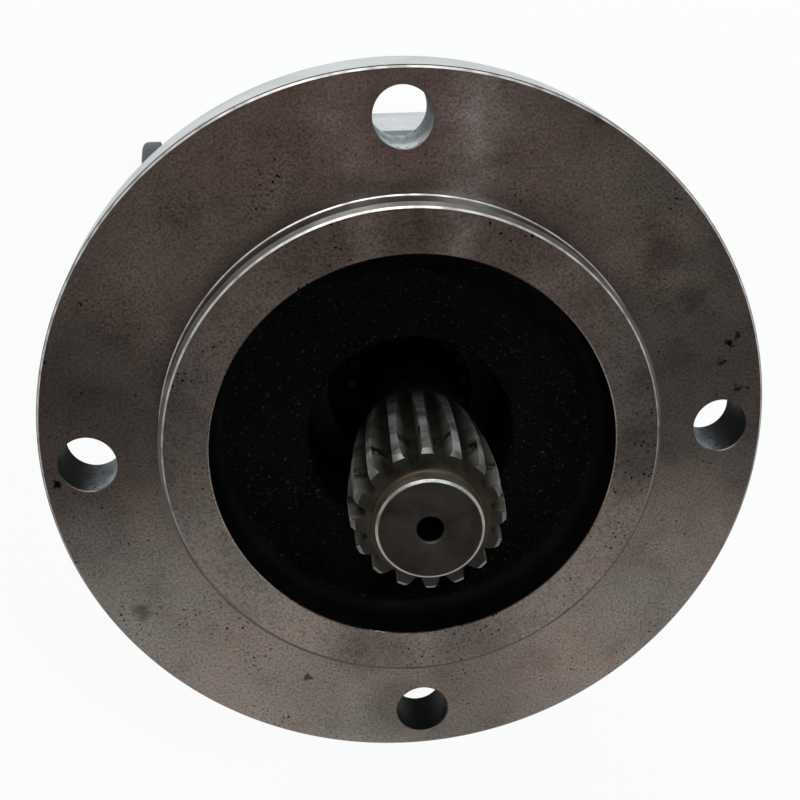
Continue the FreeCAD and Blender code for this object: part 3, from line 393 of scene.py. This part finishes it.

# Smooth black paint on the bored wall of the cavity. The same near black is painted shade in the
# throat, the drain bore in the neck, the centre hole of the link and a thin strip behind the rim
# chamfer.
black_and_shade, tree, place = start_material("black_paint_and_painted_shade")
film = add(tree, "ShaderNodeTexNoise",
           {"Vector": place, "Scale": 90.0, "Detail": 4.0}).outputs["Fac"]
black = add(tree, "ShaderNodeValToRGB", {"Fac": film}, stops=[
    (0.4, "#030303"), (0.7, "#080808")]).outputs["Color"]
shader = add(tree, "ShaderNodeBsdfPrincipled", {
    "Base Color": black, "Roughness": 0.6, "Specular IOR Level": 0.06})
add(tree, "ShaderNodeOutputMaterial", {"Surface": shader.outputs[0]})

# Profile of the casting as radius and height, from the throat forward over the cavity,
# the spigot, the flange and its rim, and back to the rear end of the neck
floor_rings = [(THROAT_RADIUS + THROAT_CHAMFER + i, CAVITY_FLOOR) for i in range(1, 19)]
casting = (
    [(THROAT_RADIUS, NECK_END), (THROAT_RADIUS, CAVITY_FLOOR - THROAT_CHAMFER),
     (THROAT_RADIUS + THROAT_CHAMFER, CAVITY_FLOOR)]
    + floor_rings
    + arc((CAVITY_RADIUS - CAVITY_ROUND, CAVITY_FLOOR + CAVITY_ROUND), CAVITY_ROUND, -90, 0, 8)
    + [(CAVITY_RADIUS, PILOT_TOP - 0.25), (CAVITY_RADIUS + 0.25, PILOT_TOP),
       (PILOT_RADIUS - PILOT_CHAMFER, PILOT_TOP), (PILOT_RADIUS - 0.85, PILOT_TOP - 0.45),
       (PILOT_RADIUS, PILOT_TOP - PILOT_CHAMFER),
       (PILOT_RADIUS, PILOT_FOOT), (PILOT_RADIUS + PILOT_FOOT, 0),
       (FLANGE_RADIUS - RIM_CHAMFER, 0), (FLANGE_RADIUS - 0.15, -0.45),
       (FLANGE_RADIUS, -RIM_CHAMFER), (FLANGE_RADIUS, -1.0)]
    + arc((FLANGE_RADIUS - RIM_ROUND, FLANGE_BACK + RIM_ROUND), RIM_ROUND, 0, -90, 4)
    + arc((NECK_RADIUS + NECK_ROUND, FLANGE_BACK - NECK_ROUND), NECK_ROUND, 90, 180, 6)
    + [(NECK_RADIUS, NECK_END)])
bm = lathe(casting, steps=256)

# Each face gets the surface that is made at its place, but for the throat and a thin strip behind
# the rim chamfer, which get near black as painted shade
TURNED, EDGE, PAINTED, FLOOR, WALL, BORE, SIDE = range(7)
for face in bm.faces:
    centre = face.calc_center_median() / MM
    r = math.hypot(centre.x, centre.y)
    if r < THROAT_RADIUS + 0.1:
        # the throat is near black, a painted shade
        face.material_index = WALL
    elif centre.z < -0.5 and r > NECK_RADIUS - 1:
        # a thin strip behind the rim chamfer is near black, a painted shadow along the edge of the
        # paint
        face.material_index = PAINTED if centre.z < -1.1 or r < FLANGE_RADIUS - 1 else WALL
    elif r > FLANGE_RADIUS - RIM_CHAMFER:
        face.material_index = EDGE
    elif -1.25 < r - PILOT_RADIUS < -0.9 and centre.z > PILOT_TOP - 0.5:
        face.material_index = EDGE
    elif PILOT_RADIUS < r < PILOT_RADIUS + 0.4 and centre.z > 0.05:
        face.material_index = EDGE
    elif PILOT_RADIUS - 0.66 < r < PILOT_RADIUS + 0.1 and centre.z > 0.05:
        face.material_index = SIDE
    elif r < CAVITY_RADIUS - CAVITY_ROUND + 1.5:
        face.material_index = FLOOR
    elif r < CAVITY_RADIUS + 0.05:
        face.material_index = WALL

# The floor of the cavity is left as cast, uneven by a third of a millimetre
for vert in bm.verts:
    place_mm = vert.co / MM
    r = math.hypot(place_mm.x, place_mm.y)
    on_floor = abs(place_mm.z - CAVITY_FLOOR) < 0.01
    if on_floor and THROAT_RADIUS + 1 < r < CAVITY_RADIUS - CAVITY_ROUND:
        vert.co.z += 0.35 * MM * noise.fractal(place_mm * 0.16, 0.9, 2.0, 4)
housing = piece_from(bm, "flange_casting", [turned_iron, polished_edge, silver_paint,
                                            cavity_black, black_and_shade, hole_wall, spigot_side])

# Four mounting holes with a broken edge, and the case drain in its flat on the neck
bm = bmesh.new()
hole = [(0, 0.6), (HOLE_RADIUS + 0.85, 0.6), (HOLE_RADIUS, -0.25), (HOLE_RADIUS, FLANGE_BACK - 1),
        (0, FLANGE_BACK - 1)]
verts = [bm.verts.new(((r + HOLE_CIRCLE) * MM, 0, z * MM)) for r, z in hole]
edges = [bm.edges.new(pair) for pair in zip(verts, verts[1:])]
bmesh.ops.spin(bm, geom=verts + edges, cent=(HOLE_CIRCLE * MM, 0, 0), axis=(0, 0, 1),
               angle=2 * math.pi, steps=64, use_merge=True, use_duplicate=False)
bmesh.ops.remove_doubles(bm, verts=bm.verts, dist=1e-7)
first = list(bm.verts) + list(bm.edges) + list(bm.faces)
bmesh.ops.spin(bm, geom=first, cent=(0, 0, 0), axis=(0, 0, 1), angle=2 * math.pi, steps=4,
               use_merge=False, use_duplicate=True)
bmesh.ops.remove_doubles(bm, verts=bm.verts, dist=1e-7)
bmesh.ops.recalc_face_normals(bm, faces=bm.faces)
for face in bm.faces:
    face.material_index = SIDE if abs(face.calc_center_median().z) < 0.5 * MM else BORE
cut_away(housing, piece_from(bm, "hole_cutter", list(housing.data.materials)))
outward = Matrix.Rotation(DRAIN_TURN, 4, "Z") @ Matrix.Translation((0, 0, DRAIN_LEVEL * MM))
bm = bmesh.new()
for radius_mm, start, end in ((10.0, DRAIN_FACE, 70.0), (5.9, 24.0, 60.0)):
    middle = Matrix.Translation(((start + end) / 2 * MM, 0, 0))
    bmesh.ops.create_cone(bm, cap_ends=True, segments=64, radius1=radius_mm * MM,
                          radius2=radius_mm * MM, depth=(end - start) * MM,
                          matrix=outward @ (middle @ Matrix.Rotation(math.pi / 2, 4, "Y")))
bmesh.ops.recalc_face_normals(bm, faces=bm.faces)
for face in bm.faces:
    middle = face.calc_center_median() / MM
    # the drain bore inside the neck is near black, a painted shade
    face.material_index = TURNED if math.hypot(middle.x, middle.y) > 57 else WALL
cut_away(housing, piece_from(bm, "drain_cutter", list(housing.data.materials)))
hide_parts("mounting_housing")
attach(housing, "motor_body")

# Drive link: a case-hardened steel shaft with crowned splines at both ends, so that it
# can rock. The teeth are hobbed and their front ends chamfered; a turned boss with a
# bright edge and a centre hole stands in front of them. Its rear nose is a ball.
LINK_PIVOT = 20.0
ROTOR_LEVEL = -53.0
ECCENTRICITY = 3.2
TOOTH_FRONT = 24.4
LINK_END = 28.8
BOSS_RADIUS = 12.15
CENTRE_HOLE = 3.05
RUN_OUT = -27.6
SHAFT_RADIUS = 12.6
TAIL = -73.07
TAIL_HALF = 8
TAIL_ROOT = 14.6
TAIL_TIP = 17.5
STEM_RADIUS = 6.4
NOSE = -97.09
NOSE_RADIUS = 8.0
TEETH = 16
POINTS = 16
PITCH_RADIUS = 17.45
HALF_TOOTH = 1.1
FLANK_SLOPE = 0.34
lean = math.atan2(ECCENTRICITY, LINK_PIVOT - ROTOR_LEVEL)


def tooth_angle(r, thinning):
    """Half the angle that a tooth takes at that radius, in radians."""
    return math.asin((HALF_TOOTH + (PITCH_RADIUS - r) * FLANK_SLOPE - thinning) / r)


def tooth_ring(root, tip, thinning):
    """Radius and angle of the sixteen points round one tooth, from gap to gap."""
    half_pitch = math.pi / TEETH
    flank = [root + 0.45 + (tip - root - 0.85) * i / 2 for i in range(3)]
    side = [(root, tooth_angle(root, thinning) + 0.012),
            (root + 0.12, tooth_angle(root + 0.12, thinning) + 0.002)]
    side += [(r, tooth_angle(r, thinning)) for r in flank]
    side += [(tip - 0.08, tooth_angle(tip, thinning) - 0.003),
             (tip, tooth_angle(tip, thinning) - 0.016)]
    # where the teeth run out, the gaps close but never pass the middle
    side = [(r, min(a, half_pitch * (0.97 - 0.02 * i))) for i, (r, a) in enumerate(side)]
    left = [(root, -half_pitch)] + [(r, -a) for r, a in side]
    right = [(r, a) for r, a in reversed(side)]
    return left + [(tip, 0)] + right


def between(stops, z):
    """The value at height z on a line through (height, value) stops, highest first."""
    for (z1, v1), (z2, v2) in zip(stops, stops[1:]):
        if z1 >= z >= z2:
            return v1 + (v2 - v1) * (z1 - z) / (z1 - z2)
    return stops[-1][1]


# Radii of the front teeth at their tips and roots by height, and the crown of the rear
# teeth as how far they draw in
tips = [(23.4, 17.45), (17.5, 17.85), (11.9, 18.0), (4.0, 17.75), (-3.6, 17.2), (-15.6, 15.9),
        (RUN_OUT, 12.65)]
roots = [(24.4, 14.3), (11.4, 14.7), (-9.6, 14.3), (RUN_OUT, 12.6)]
tail_relief = [(TAIL_HALF, 0.42), (4, 0.105), (0, 0.0), (-4, 0.105), (-TAIL_HALF, 0.42)]

# Rings from the nose to the centre hole: height, root radius, tip radius and thinning
rings = []
ball = math.sqrt(NOSE_RADIUS ** 2 - STEM_RADIUS ** 2)
for i in range(1, 17):
    turn = math.radians(-90 + i * (90 + math.degrees(math.asin(ball / NOSE_RADIUS))) / 16)
    rings.append((NOSE + NOSE_RADIUS * math.sin(turn), NOSE_RADIUS * math.cos(turn), None, 0))
rings += [(TAIL - TAIL_HALF, STEM_RADIUS, None, 0), (TAIL - TAIL_HALF, 13.4, None, 0)]
for offset, relief in reversed(tail_relief):
    root = 13.9 if offset == -TAIL_HALF else TAIL_ROOT
    rings.append((TAIL + offset, root, TAIL_TIP - relief, relief))
rings += [(TAIL + TAIL_HALF, TAIL_ROOT, None, 0), (TAIL + 12, SHAFT_RADIUS, None, 0),
          (RUN_OUT, SHAFT_RADIUS, None, 0)]
for i in range(1, 36):
    z = RUN_OUT + (23.4 - RUN_OUT) * i / 35
    tip, root = between(tips, z), between(roots, z)
    rings.append((z, root, max(tip, root + 0.9) if i > 2 else root + 0.3 * i, 0))
rings += [(TOOTH_FRONT, 14.3, 16.45, 0), (TOOTH_FRONT, 13.2, None, 0)]
rings += [(z, r, None, 0) for r, z in arc((13.2, 25.45), 1.05, -90, -180, 5)[1:]]
boss = [(28.2, BOSS_RADIUS), (28.3, 12.12), (28.76, 11.56), (LINK_END, 11.5), (LINK_END, 3.45),
        (28.4, CENTRE_HOLE), (20.5, CENTRE_HOLE), (19.0, 0.4)]
rings += [(z, r, None, 0) for z, r in boss]

# The skin is drawn from ring to ring; where there are no teeth, all points of a ring lie
# on one radius
bm = bmesh.new()
bmesh.ops.create_circle(bm, segments=TEETH * POINTS, radius=1 * MM)
loop = list(bm.verts)
edges = list(bm.edges)
for step, (z, root, tip, thinning) in enumerate(rings):
    if step:
        grown = bmesh.ops.extrude_edge_only(bm, edges=edges)["geom"]
        loop = [g for g in grown if isinstance(g, bmesh.types.BMVert)]
        edges = [g for g in grown if isinstance(g, bmesh.types.BMEdge)]
    outline = tooth_ring(root, tip, thinning) if tip and tip > root + 0.86 else None
    loop.sort(key=lambda v: (math.atan2(v.co.y, v.co.x) + math.pi / TEETH + 0.001) % (2 * math.pi))
    for i, vert in enumerate(loop):
        tooth, point = divmod(i, POINTS)
        if outline:
            r, turn = outline[point]
        else:
            r = root
            turn = tooth_ring(14.3, 17.2, 0)[point][1]
        turn += tooth * 2 * math.pi / TEETH
        vert.co = Vector((r * math.cos(turn), r * math.sin(turn), z)) * MM
    if step == 0:
        bmesh.ops.contextual_create(bm, geom=edges)
bmesh.ops.contextual_create(bm, geom=edges)
bmesh.ops.recalc_face_normals(bm, faces=bm.faces)
STEEL, BOSS_EDGE, DEEP, TOOTH_END = range(4)
for face in bm.faces:
    centre = face.calc_center_median() / MM
    r = math.hypot(centre.x, centre.y)
    if 23.45 < centre.z < 24.38 and r > 16.4:
        face.material_index = TOOTH_END
    elif 28.31 < centre.z < 28.75 and r > 11.3:
        face.material_index = BOSS_EDGE
    elif centre.z > 15 and r < 3.2:
        # the deep faces of the centre hole are near black, a painted shade
        face.material_index = DEEP
    else:
        face.material_index = STEEL
link_place = Matrix.Translation((0, 0, LINK_PIVOT * MM)) @ Matrix.Rotation(-lean, 4, "Y")
bm.transform(link_place)

# Hobbed and hardened steel, greenish grey under oil: worn light on the crests, dark in the gaps,
# with sooty smudges behind the tooth ends and brown oil round the boss. Towards the rear it is
# painted near black, a painted shade where the link runs back into the housing.
link_steel, tree, place = start_material("hobbed_hardened_steel")
pivot_m = LINK_PIVOT * MM
own = add(tree, "ShaderNodeMapping", {
    "Vector": place, "Location": (-pivot_m * math.sin(lean), 0, -pivot_m * math.cos(lean)),
    "Rotation": (0, lean, 0)}).outputs[0]
radius = turned_coordinates(tree, own)
height = add(tree, "ShaderNodeSeparateXYZ", {0: own}).outputs[2]
feed = add(tree, "ShaderNodeMath", {0: radius, 1: 1 / (0.35 * MM)}, operation="MULTIPLY").outputs[0]
rings_fac = add(tree, "ShaderNodeTexNoise", {"W": feed, "Scale": 1.0, "Detail": 2.0},
                noise_dimensions="1D").outputs["Fac"]
film = add(tree, "ShaderNodeTexNoise", {"Vector": own, "Scale": 160.0, "Detail": 7.0,
                                        "Distortion": 0.4}).outputs["Fac"]
reach = add(tree, "ShaderNodeMapRange", {0: radius, 1: 14 * MM, 2: 18 * MM}).outputs[0]
flank = add(tree, "ShaderNodeValToRGB", {"Fac": reach}, stops=[
    (0.0, "#24221b"), (0.4, "#4c4a3f"), (1.0, "#8c897d")]).outputs["Color"]
flat = add(tree, "ShaderNodeVectorMath", {0: own, 1: (1, 1, 0)}, operation="MULTIPLY").outputs[0]
outward = add(tree, "ShaderNodeVectorMath", {0: flat}, operation="NORMALIZE").outputs[0]
normal = add(tree, "ShaderNodeNewGeometry").outputs["Normal"]
facing = add(tree, "ShaderNodeVectorMath",
             {0: outward, 1: normal}, operation="DOT_PRODUCT").outputs["Value"]
crest = add(tree, "ShaderNodeMapRange", {0: facing, 1: 0.80, 2: 0.90}).outputs[0]
high = add(tree, "ShaderNodeMapRange", {0: radius, 1: 15.0 * MM, 2: 15.5 * MM}).outputs[0]
crest = add(tree, "ShaderNodeMath", {0: crest, 1: high}, operation="MULTIPLY").outputs[0]
worn = add(tree, "ShaderNodeValToRGB", {"Fac": film}, stops=[
    (0.35, "#898a8d"), (0.5, "#9b9c9e"), (0.62, "#a6a7a8")]).outputs["Color"]
flank = add(tree, "ShaderNodeMix", {0: crest, 6: flank, 7: worn}, data_type="RGBA").outputs[2]
out = add(tree, "ShaderNodeMapRange", {0: radius, 1: 4 * MM, 2: 16 * MM}).outputs[0]
front = add(tree, "ShaderNodeValToRGB", {"Fac": out}, stops=[
    (0.0, "#3c352f"), (0.60, "#352f29"), (0.66, "#6b5f51"), (0.72, "#3c3327"), (0.78, "#4a3f2e"),
    (0.88, "#37332b")]).outputs["Color"]
ahead = add(tree, "ShaderNodeMapRange", {0: height, 1: 24.2 * MM, 2: 24.38 * MM}).outputs[0]
steel = add(tree, "ShaderNodeMix", {0: ahead, 6: flank, 7: front}, data_type="RGBA").outputs[2]
tone = add(tree, "ShaderNodeValToRGB", {"Fac": film}, stops=[
    (0.3, "#8f8b82"), (0.5, "#dedcd6"), (0.66, "#ffffff")]).outputs["Color"]
steel = add(tree, "ShaderNodeMix",
            {0: 0.8, 6: steel, 7: tone}, data_type="RGBA", blend_type="MULTIPLY").outputs[2]
ring_tone = add(tree, "ShaderNodeValToRGB", {"Fac": rings_fac}, stops=[
    (0.3, "#e6e3de"), (0.6, "#ffffff")]).outputs["Color"]
steel = add(tree, "ShaderNodeMix", {0: ahead, 6: steel, 7: ring_tone}, data_type="RGBA",
            blend_type="MULTIPLY").outputs[2]
soot = add(tree, "ShaderNodeTexNoise", {"Vector": own, "Scale": 170.0, "Detail": 6.0,
                                        "Roughness": 0.65}).outputs["Fac"]
belt = add(tree, "ShaderNodeMapRange", {0: height, 1: 8 * MM, 2: 12 * MM}).outputs[0]
belt_end = add(tree, "ShaderNodeMapRange",
               {0: height, 1: 14 * MM, 2: 18 * MM, 3: 1.0, 4: 0.0}).outputs[0]
belt = add(tree, "ShaderNodeMath", {0: belt, 1: belt_end}, operation="MINIMUM").outputs[0]
smudges_and_shade = add(tree, "ShaderNodeMapRange", {0: soot, 1: 0.47, 2: 0.50}).outputs[0]
smudges_and_shade = add(tree, "ShaderNodeMath", {0: smudges_and_shade, 1: belt}, operation="MULTIPLY").outputs[0]
smudges_and_shade = add(tree, "ShaderNodeMath",
            {0: smudges_and_shade, 1: crest}, operation="SUBTRACT", use_clamp=True).outputs[0]
# painted shade: the colour falls to near black towards the rear of the link
rear_shade = add(tree, "ShaderNodeMapRange", {0: height, 1: -22 * MM, 2: 13.5 * MM}).outputs[0]
rear_shade = add(tree, "ShaderNodeValToRGB", {"Fac": rear_shade}, stops=[
    (0.2, "#fafafa"), (0.5, "#e0e0e0"), (0.75, "#b4b4b4"),
    (0.97, "#8c8c8c"), (1.0, "#000000")]).outputs["Color"]
smudges_and_shade = add(tree, "ShaderNodeMath", {0: smudges_and_shade, 1: rear_shade}, operation="MAXIMUM").outputs[0]
steel = add(tree, "ShaderNodeMix",
            {0: smudges_and_shade, 6: steel, 7: srgb("#12110d")}, data_type="RGBA").outputs[2]
gloss = add(tree, "ShaderNodeMapRange", {0: film, 1: 0.3, 2: 0.7, 3: 0.38, 4: 0.56}).outputs[0]
cuts = add(tree, "ShaderNodeBump",
           {"Height": rings_fac, "Strength": 0.1, "Distance": 0.03 * MM}).outputs[0]
shader = add(tree, "ShaderNodeBsdfPrincipled", {
    "Base Color": steel, "Metallic": 0.7, "Roughness": gloss, "Normal": cuts})
add(tree, "ShaderNodeOutputMaterial", {"Surface": shader.outputs[0]})

link = piece_from(bm, "splined_link", [link_steel, polished_edge, black_and_shade, spigot_side],
                  crease=22)
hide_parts("drive_link")
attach(link, "drive_link")

# Section plates, stator and end cover: steel rings and a square iron casting, bolted
# up as one stack and sprayed together with the same silver grey enamel.
stack = ["wear_plate", "stator", "manifold_front_plate", "manifold_passage_plate",
         "manifold_port_plate", "commutator_ring", "end_cover"]


def dress(names, material):
    """Gives the CAD pieces of those names their material."""
    for name in names:
        nodes[name].data.materials.clear()
        nodes[name].data.materials.append(material)


dress(stack, silver_paint)

# Bolts, washers and the drain plug: zinc plated steel, thin and slightly blue
zinc_plate, tree, place = start_material("zinc_plated_steel")
bloom = add(tree, "ShaderNodeTexNoise",
            {"Vector": place, "Scale": 220.0, "Detail": 5.0}).outputs["Fac"]
zinc = add(tree, "ShaderNodeValToRGB", {"Fac": bloom}, stops=[
    (0.35, "#7d7f80"), (0.6, "#a6a8a8")]).outputs["Color"]
gloss = add(tree, "ShaderNodeMapRange", {0: bloom, 1: 0.3, 2: 0.7, 3: 0.25, 4: 0.42}).outputs[0]
shader = add(tree, "ShaderNodeBsdfPrincipled", {
    "Base Color": zinc, "Metallic": 1.0, "Roughness": gloss})
add(tree, "ShaderNodeOutputMaterial", {"Surface": shader.outputs[0]})
dress(["section_bolts", "bolt_washers", "drain_plug"], zinc_plate)

# Gear set and timing pins: hardened steel, ground all over to a satin. Towards the open front it is
# painted near black, a painted shade for the dark inside of the motor.
ground_steel, tree, place = start_material("ground_hardened_steel")
grain = add(tree, "ShaderNodeMapping", {"Vector": place, "Scale": (900.0, 900.0, 60.0)}).outputs[0]
grind = add(tree, "ShaderNodeTexNoise",
            {"Vector": grain, "Scale": 1.0, "Detail": 3.0}).outputs["Fac"]
steel = add(tree, "ShaderNodeValToRGB", {"Fac": grind}, stops=[
    (0.35, "#6d6d69"), (0.65, "#93938e")]).outputs["Color"]
# painted shade: near black at the front faces
depth = add(tree, "ShaderNodeSeparateXYZ", {0: place}).outputs[2]
depth = add(tree, "ShaderNodeMapRange", {0: depth, 1: -49 * MM, 2: -44.2 * MM}).outputs[0]
steel = add(tree, "ShaderNodeMix",
            {0: depth, 6: steel, 7: srgb("#0e0d0a")}, data_type="RGBA").outputs[2]
gloss = add(tree, "ShaderNodeMapRange", {0: grind, 1: 0.3, 2: 0.7, 3: 0.2, 4: 0.34}).outputs[0]
shader = add(tree, "ShaderNodeBsdfPrincipled", {
    "Base Color": steel, "Metallic": 1.0, "Roughness": gloss})
add(tree, "ShaderNodeOutputMaterial", {"Surface": shader.outputs[0]})
dress(["rotor", "timing_pins"] + [f"roller_{i}" for i in range(1, 8)], ground_steel)

# Commutator: lapped dense iron, nearly black where oil stands in its pores
lapped_iron, tree, place = start_material("lapped_iron")
pores = add(tree, "ShaderNodeTexNoise",
            {"Vector": place, "Scale": 800.0, "Detail": 4.0}).outputs["Fac"]
iron = add(tree, "ShaderNodeValToRGB", {"Fac": pores}, stops=[
    (0.35, "#3a3a3a"), (0.6, "#5c5c5b")]).outputs["Color"]
shader = add(tree, "ShaderNodeBsdfPrincipled", {
    "Base Color": iron, "Metallic": 0.9, "Roughness": 0.3})
add(tree, "ShaderNodeOutputMaterial", {"Surface": shader.outputs[0]})
dress(["commutator"], lapped_iron)

# Soft metals: a sintered bronze bushing and an annealed copper sealing washer
bearing_bronze, tree, place = start_material("sintered_bearing_bronze")
pores = add(tree, "ShaderNodeTexNoise",
            {"Vector": place, "Scale": 900.0, "Detail": 4.0}).outputs["Fac"]
bronze = add(tree, "ShaderNodeValToRGB", {"Fac": pores}, stops=[
    (0.35, "#8a6a3a"), (0.6, "#b48d50")]).outputs["Color"]
shader = add(tree, "ShaderNodeBsdfPrincipled", {
    "Base Color": bronze, "Metallic": 1.0, "Roughness": 0.36})
add(tree, "ShaderNodeOutputMaterial", {"Surface": shader.outputs[0]})
dress(["nose_bushing"], bearing_bronze)
soft_copper, tree, place = start_material("annealed_copper")
tarnish = add(tree, "ShaderNodeTexNoise",
              {"Vector": place, "Scale": 300.0, "Detail": 5.0}).outputs["Fac"]
copper = add(tree, "ShaderNodeValToRGB", {"Fac": tarnish}, stops=[
    (0.35, "#8c5236"), (0.6, "#bd7a55")]).outputs["Color"]
shader = add(tree, "ShaderNodeBsdfPrincipled", {
    "Base Color": copper, "Metallic": 1.0, "Roughness": 0.4})
add(tree, "ShaderNodeOutputMaterial", {"Surface": shader.outputs[0]})
dress(["drain_washer"], soft_copper)

# Square section seals and the commutator's face seal: moulded nitrile rubber, matt black
nitrile, tree, place = start_material("moulded_nitrile_rubber")
bloom = add(tree, "ShaderNodeTexNoise",
            {"Vector": place, "Scale": 500.0, "Detail": 4.0}).outputs["Fac"]
rubber = add(tree, "ShaderNodeValToRGB", {"Fac": bloom}, stops=[
    (0.4, "#151515"), (0.7, "#232323")]).outputs["Color"]
shader = add(tree, "ShaderNodeBsdfPrincipled", {
    "Base Color": rubber, "Roughness": 0.62})
add(tree, "ShaderNodeOutputMaterial", {"Surface": shader.outputs[0]})
dress(["housing_seal", "wear_plate_seal", "stator_seal", "manifold_seal", "cover_seal",
       "commutator_seal"], nitrile)

# Port cap: a soft polyethylene plug, moulded in dark blue grey, pushed in the upper port
cap_plastic, tree, place = start_material("moulded_dark_polyethylene")
flow = add(tree, "ShaderNodeTexNoise",
           {"Vector": place, "Scale": 240.0, "Detail": 4.0}).outputs["Fac"]
plastic = add(tree, "ShaderNodeValToRGB", {"Fac": flow}, stops=[
    (0.35, "#2a3138"), (0.7, "#3b444c")]).outputs["Color"]
skin = add(tree, "ShaderNodeBump",
           {"Height": flow, "Strength": 0.2, "Distance": 0.1 * MM}).outputs[0]
shader = add(tree, "ShaderNodeBsdfPrincipled", {
    "Base Color": plastic, "Roughness": 0.5, "IOR": 1.51, "Normal": skin})
add(tree, "ShaderNodeOutputMaterial", {"Surface": shader.outputs[0]})
dress(["port_cap"], cap_plastic)

# Studio: a plain pale table under the motor, lit by soft boxes. The table is white to
# the camera and in reflections, and keeps a faint shadow of the motor.
TABLE_LEVEL = -114.0
OVERHEAD = 0.125
bm = bmesh.new()
bmesh.ops.create_grid(bm, x_segments=1, y_segments=1, size=3.0)
bmesh.ops.translate(bm, verts=bm.verts, vec=(0, 0, TABLE_LEVEL * MM))
white_table, tree, place = start_material("white_table")
paper = add(tree, "ShaderNodeTexNoise", {"Vector": place, "Scale": 30.0}).outputs["Fac"]
paper = add(tree, "ShaderNodeValToRGB", {"Fac": paper}, stops=[
    (0.0, "#f2f2f2"), (1.0, "#f6f6f6")]).outputs["Color"]
lit = add(tree, "ShaderNodeBsdfDiffuse", {"Color": paper}).outputs[0]
glow = add(tree, "ShaderNodeEmission", {"Color": srgb("#ffffff"), "Strength": 1.0}).outputs[0]
path = add(tree, "ShaderNodeLightPath").outputs
seen = add(tree, "ShaderNodeMath",
           {0: path["Is Camera Ray"], 1: path["Is Glossy Ray"]}, operation="MAXIMUM").outputs[0]
seen = add(tree, "ShaderNodeMath",
           {0: seen, 1: path["Is Transmission Ray"]}, operation="MAXIMUM").outputs[0]
seen = add(tree, "ShaderNodeMath", {0: seen, 1: 0.92}, operation="MULTIPLY").outputs[0]
shader = add(tree, "ShaderNodeMixShader", {0: seen, 1: lit, 2: glow})
add(tree, "ShaderNodeOutputMaterial", {"Surface": shader.outputs[0]})
table = piece_from(bm, "table", [white_table])
table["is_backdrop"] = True

world = bpy.data.worlds.new("studio")
bpy.context.scene.world = world
world.use_nodes = True
tree = world.node_tree
tree.nodes.clear()
# the room is light round the table and towards the wall at -Y, and dark overhead, where
# the photographer stood
sky = add(tree, "ShaderNodeTexCoord").outputs["Generated"]
sky = add(tree, "ShaderNodeSeparateXYZ", {0: sky})
wall = add(tree, "ShaderNodeMapRange",
           {0: sky.outputs[1], 1: -0.32, 2: -0.62, 3: OVERHEAD, 4: 0.95},
           interpolation_type="SMOOTHSTEP").outputs[0]
horizon = add(tree, "ShaderNodeMapRange",
              {0: sky.outputs[2], 1: 0.80, 2: 0.30, 3: OVERHEAD, 4: 0.88},
              interpolation_type="SMOOTHSTEP").outputs[0]
level = add(tree, "ShaderNodeMath", {0: wall, 1: horizon}, operation="MAXIMUM").outputs[0]
path = add(tree, "ShaderNodeLightPath")
room = add(tree, "ShaderNodeBackground", {"Color": srgb("#f4f5f6"), "Strength": level}).outputs[0]
white = add(tree, "ShaderNodeBackground", {"Color": srgb("#ffffff"), "Strength": 1.0}).outputs[0]
mixed = add(tree, "ShaderNodeMixShader",
            {0: path.outputs["Is Camera Ray"], 1: room, 2: white}).outputs[0]
add(tree, "ShaderNodeOutputWorld", {"Surface": mixed})


def soft_box(name, place_m, aim, width, height, watts, colour="#ffffff"):
    """A rectangular lamp that faces a point."""
    lamp = bpy.data.lights.new(name, "AREA")
    lamp.shape = "RECTANGLE"
    lamp.size, lamp.size_y = width, height
    lamp.energy = watts
    lamp.color = srgb(colour)[:3]
    holder = bpy.data.objects.new(name, lamp)
    bpy.context.scene.collection.objects.link(holder)
    holder.location = place_m
    holder.rotation_euler = (Vector(aim) - Vector(place_m)).to_track_quat("-Z", "Y").to_euler()


soft_box("window", (-0.12, 1.10, 0.47), (0, 0, -0.02), 0.9, 0.4, 7)
soft_box("left_tube", (-0.089, 0.63, 1.018), (0, 0, 0), 0.03, 0.08, 1.0, "#cdeeff")
soft_box("right_tube", (0.344, 0.596, 0.983), (0, 0, 0), 0.03, 0.08, 3.6, "#cdeeff")

# Camera: the photograph's viewing angle and frame, 800 by 800
right = Vector((0.98812, -0.00261, 0.15368))
up = Vector((0.07173, 0.89211, -0.44609))
back = -Vector((0.13593, -0.45182, -0.88169))
lens = bpy.data.cameras.new("camera")
lens.sensor_width = 36.0
lens.lens = 60.75
lens.shift_x = -0.1188
lens.shift_y = 0.1734
lens.clip_start = 0.01
lens.clip_end = 20.0
camera = bpy.data.objects.new("camera", lens)
bpy.context.scene.collection.objects.link(camera)
turn = Matrix((right, up, back)).transposed().to_4x4()
camera.matrix_world = Matrix.Translation((-0.02778, 0.13266, 0.31408)) @ turn
bpy.context.scene.camera = camera
bpy.context.scene.view_settings.view_transform = "Standard"

low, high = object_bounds()
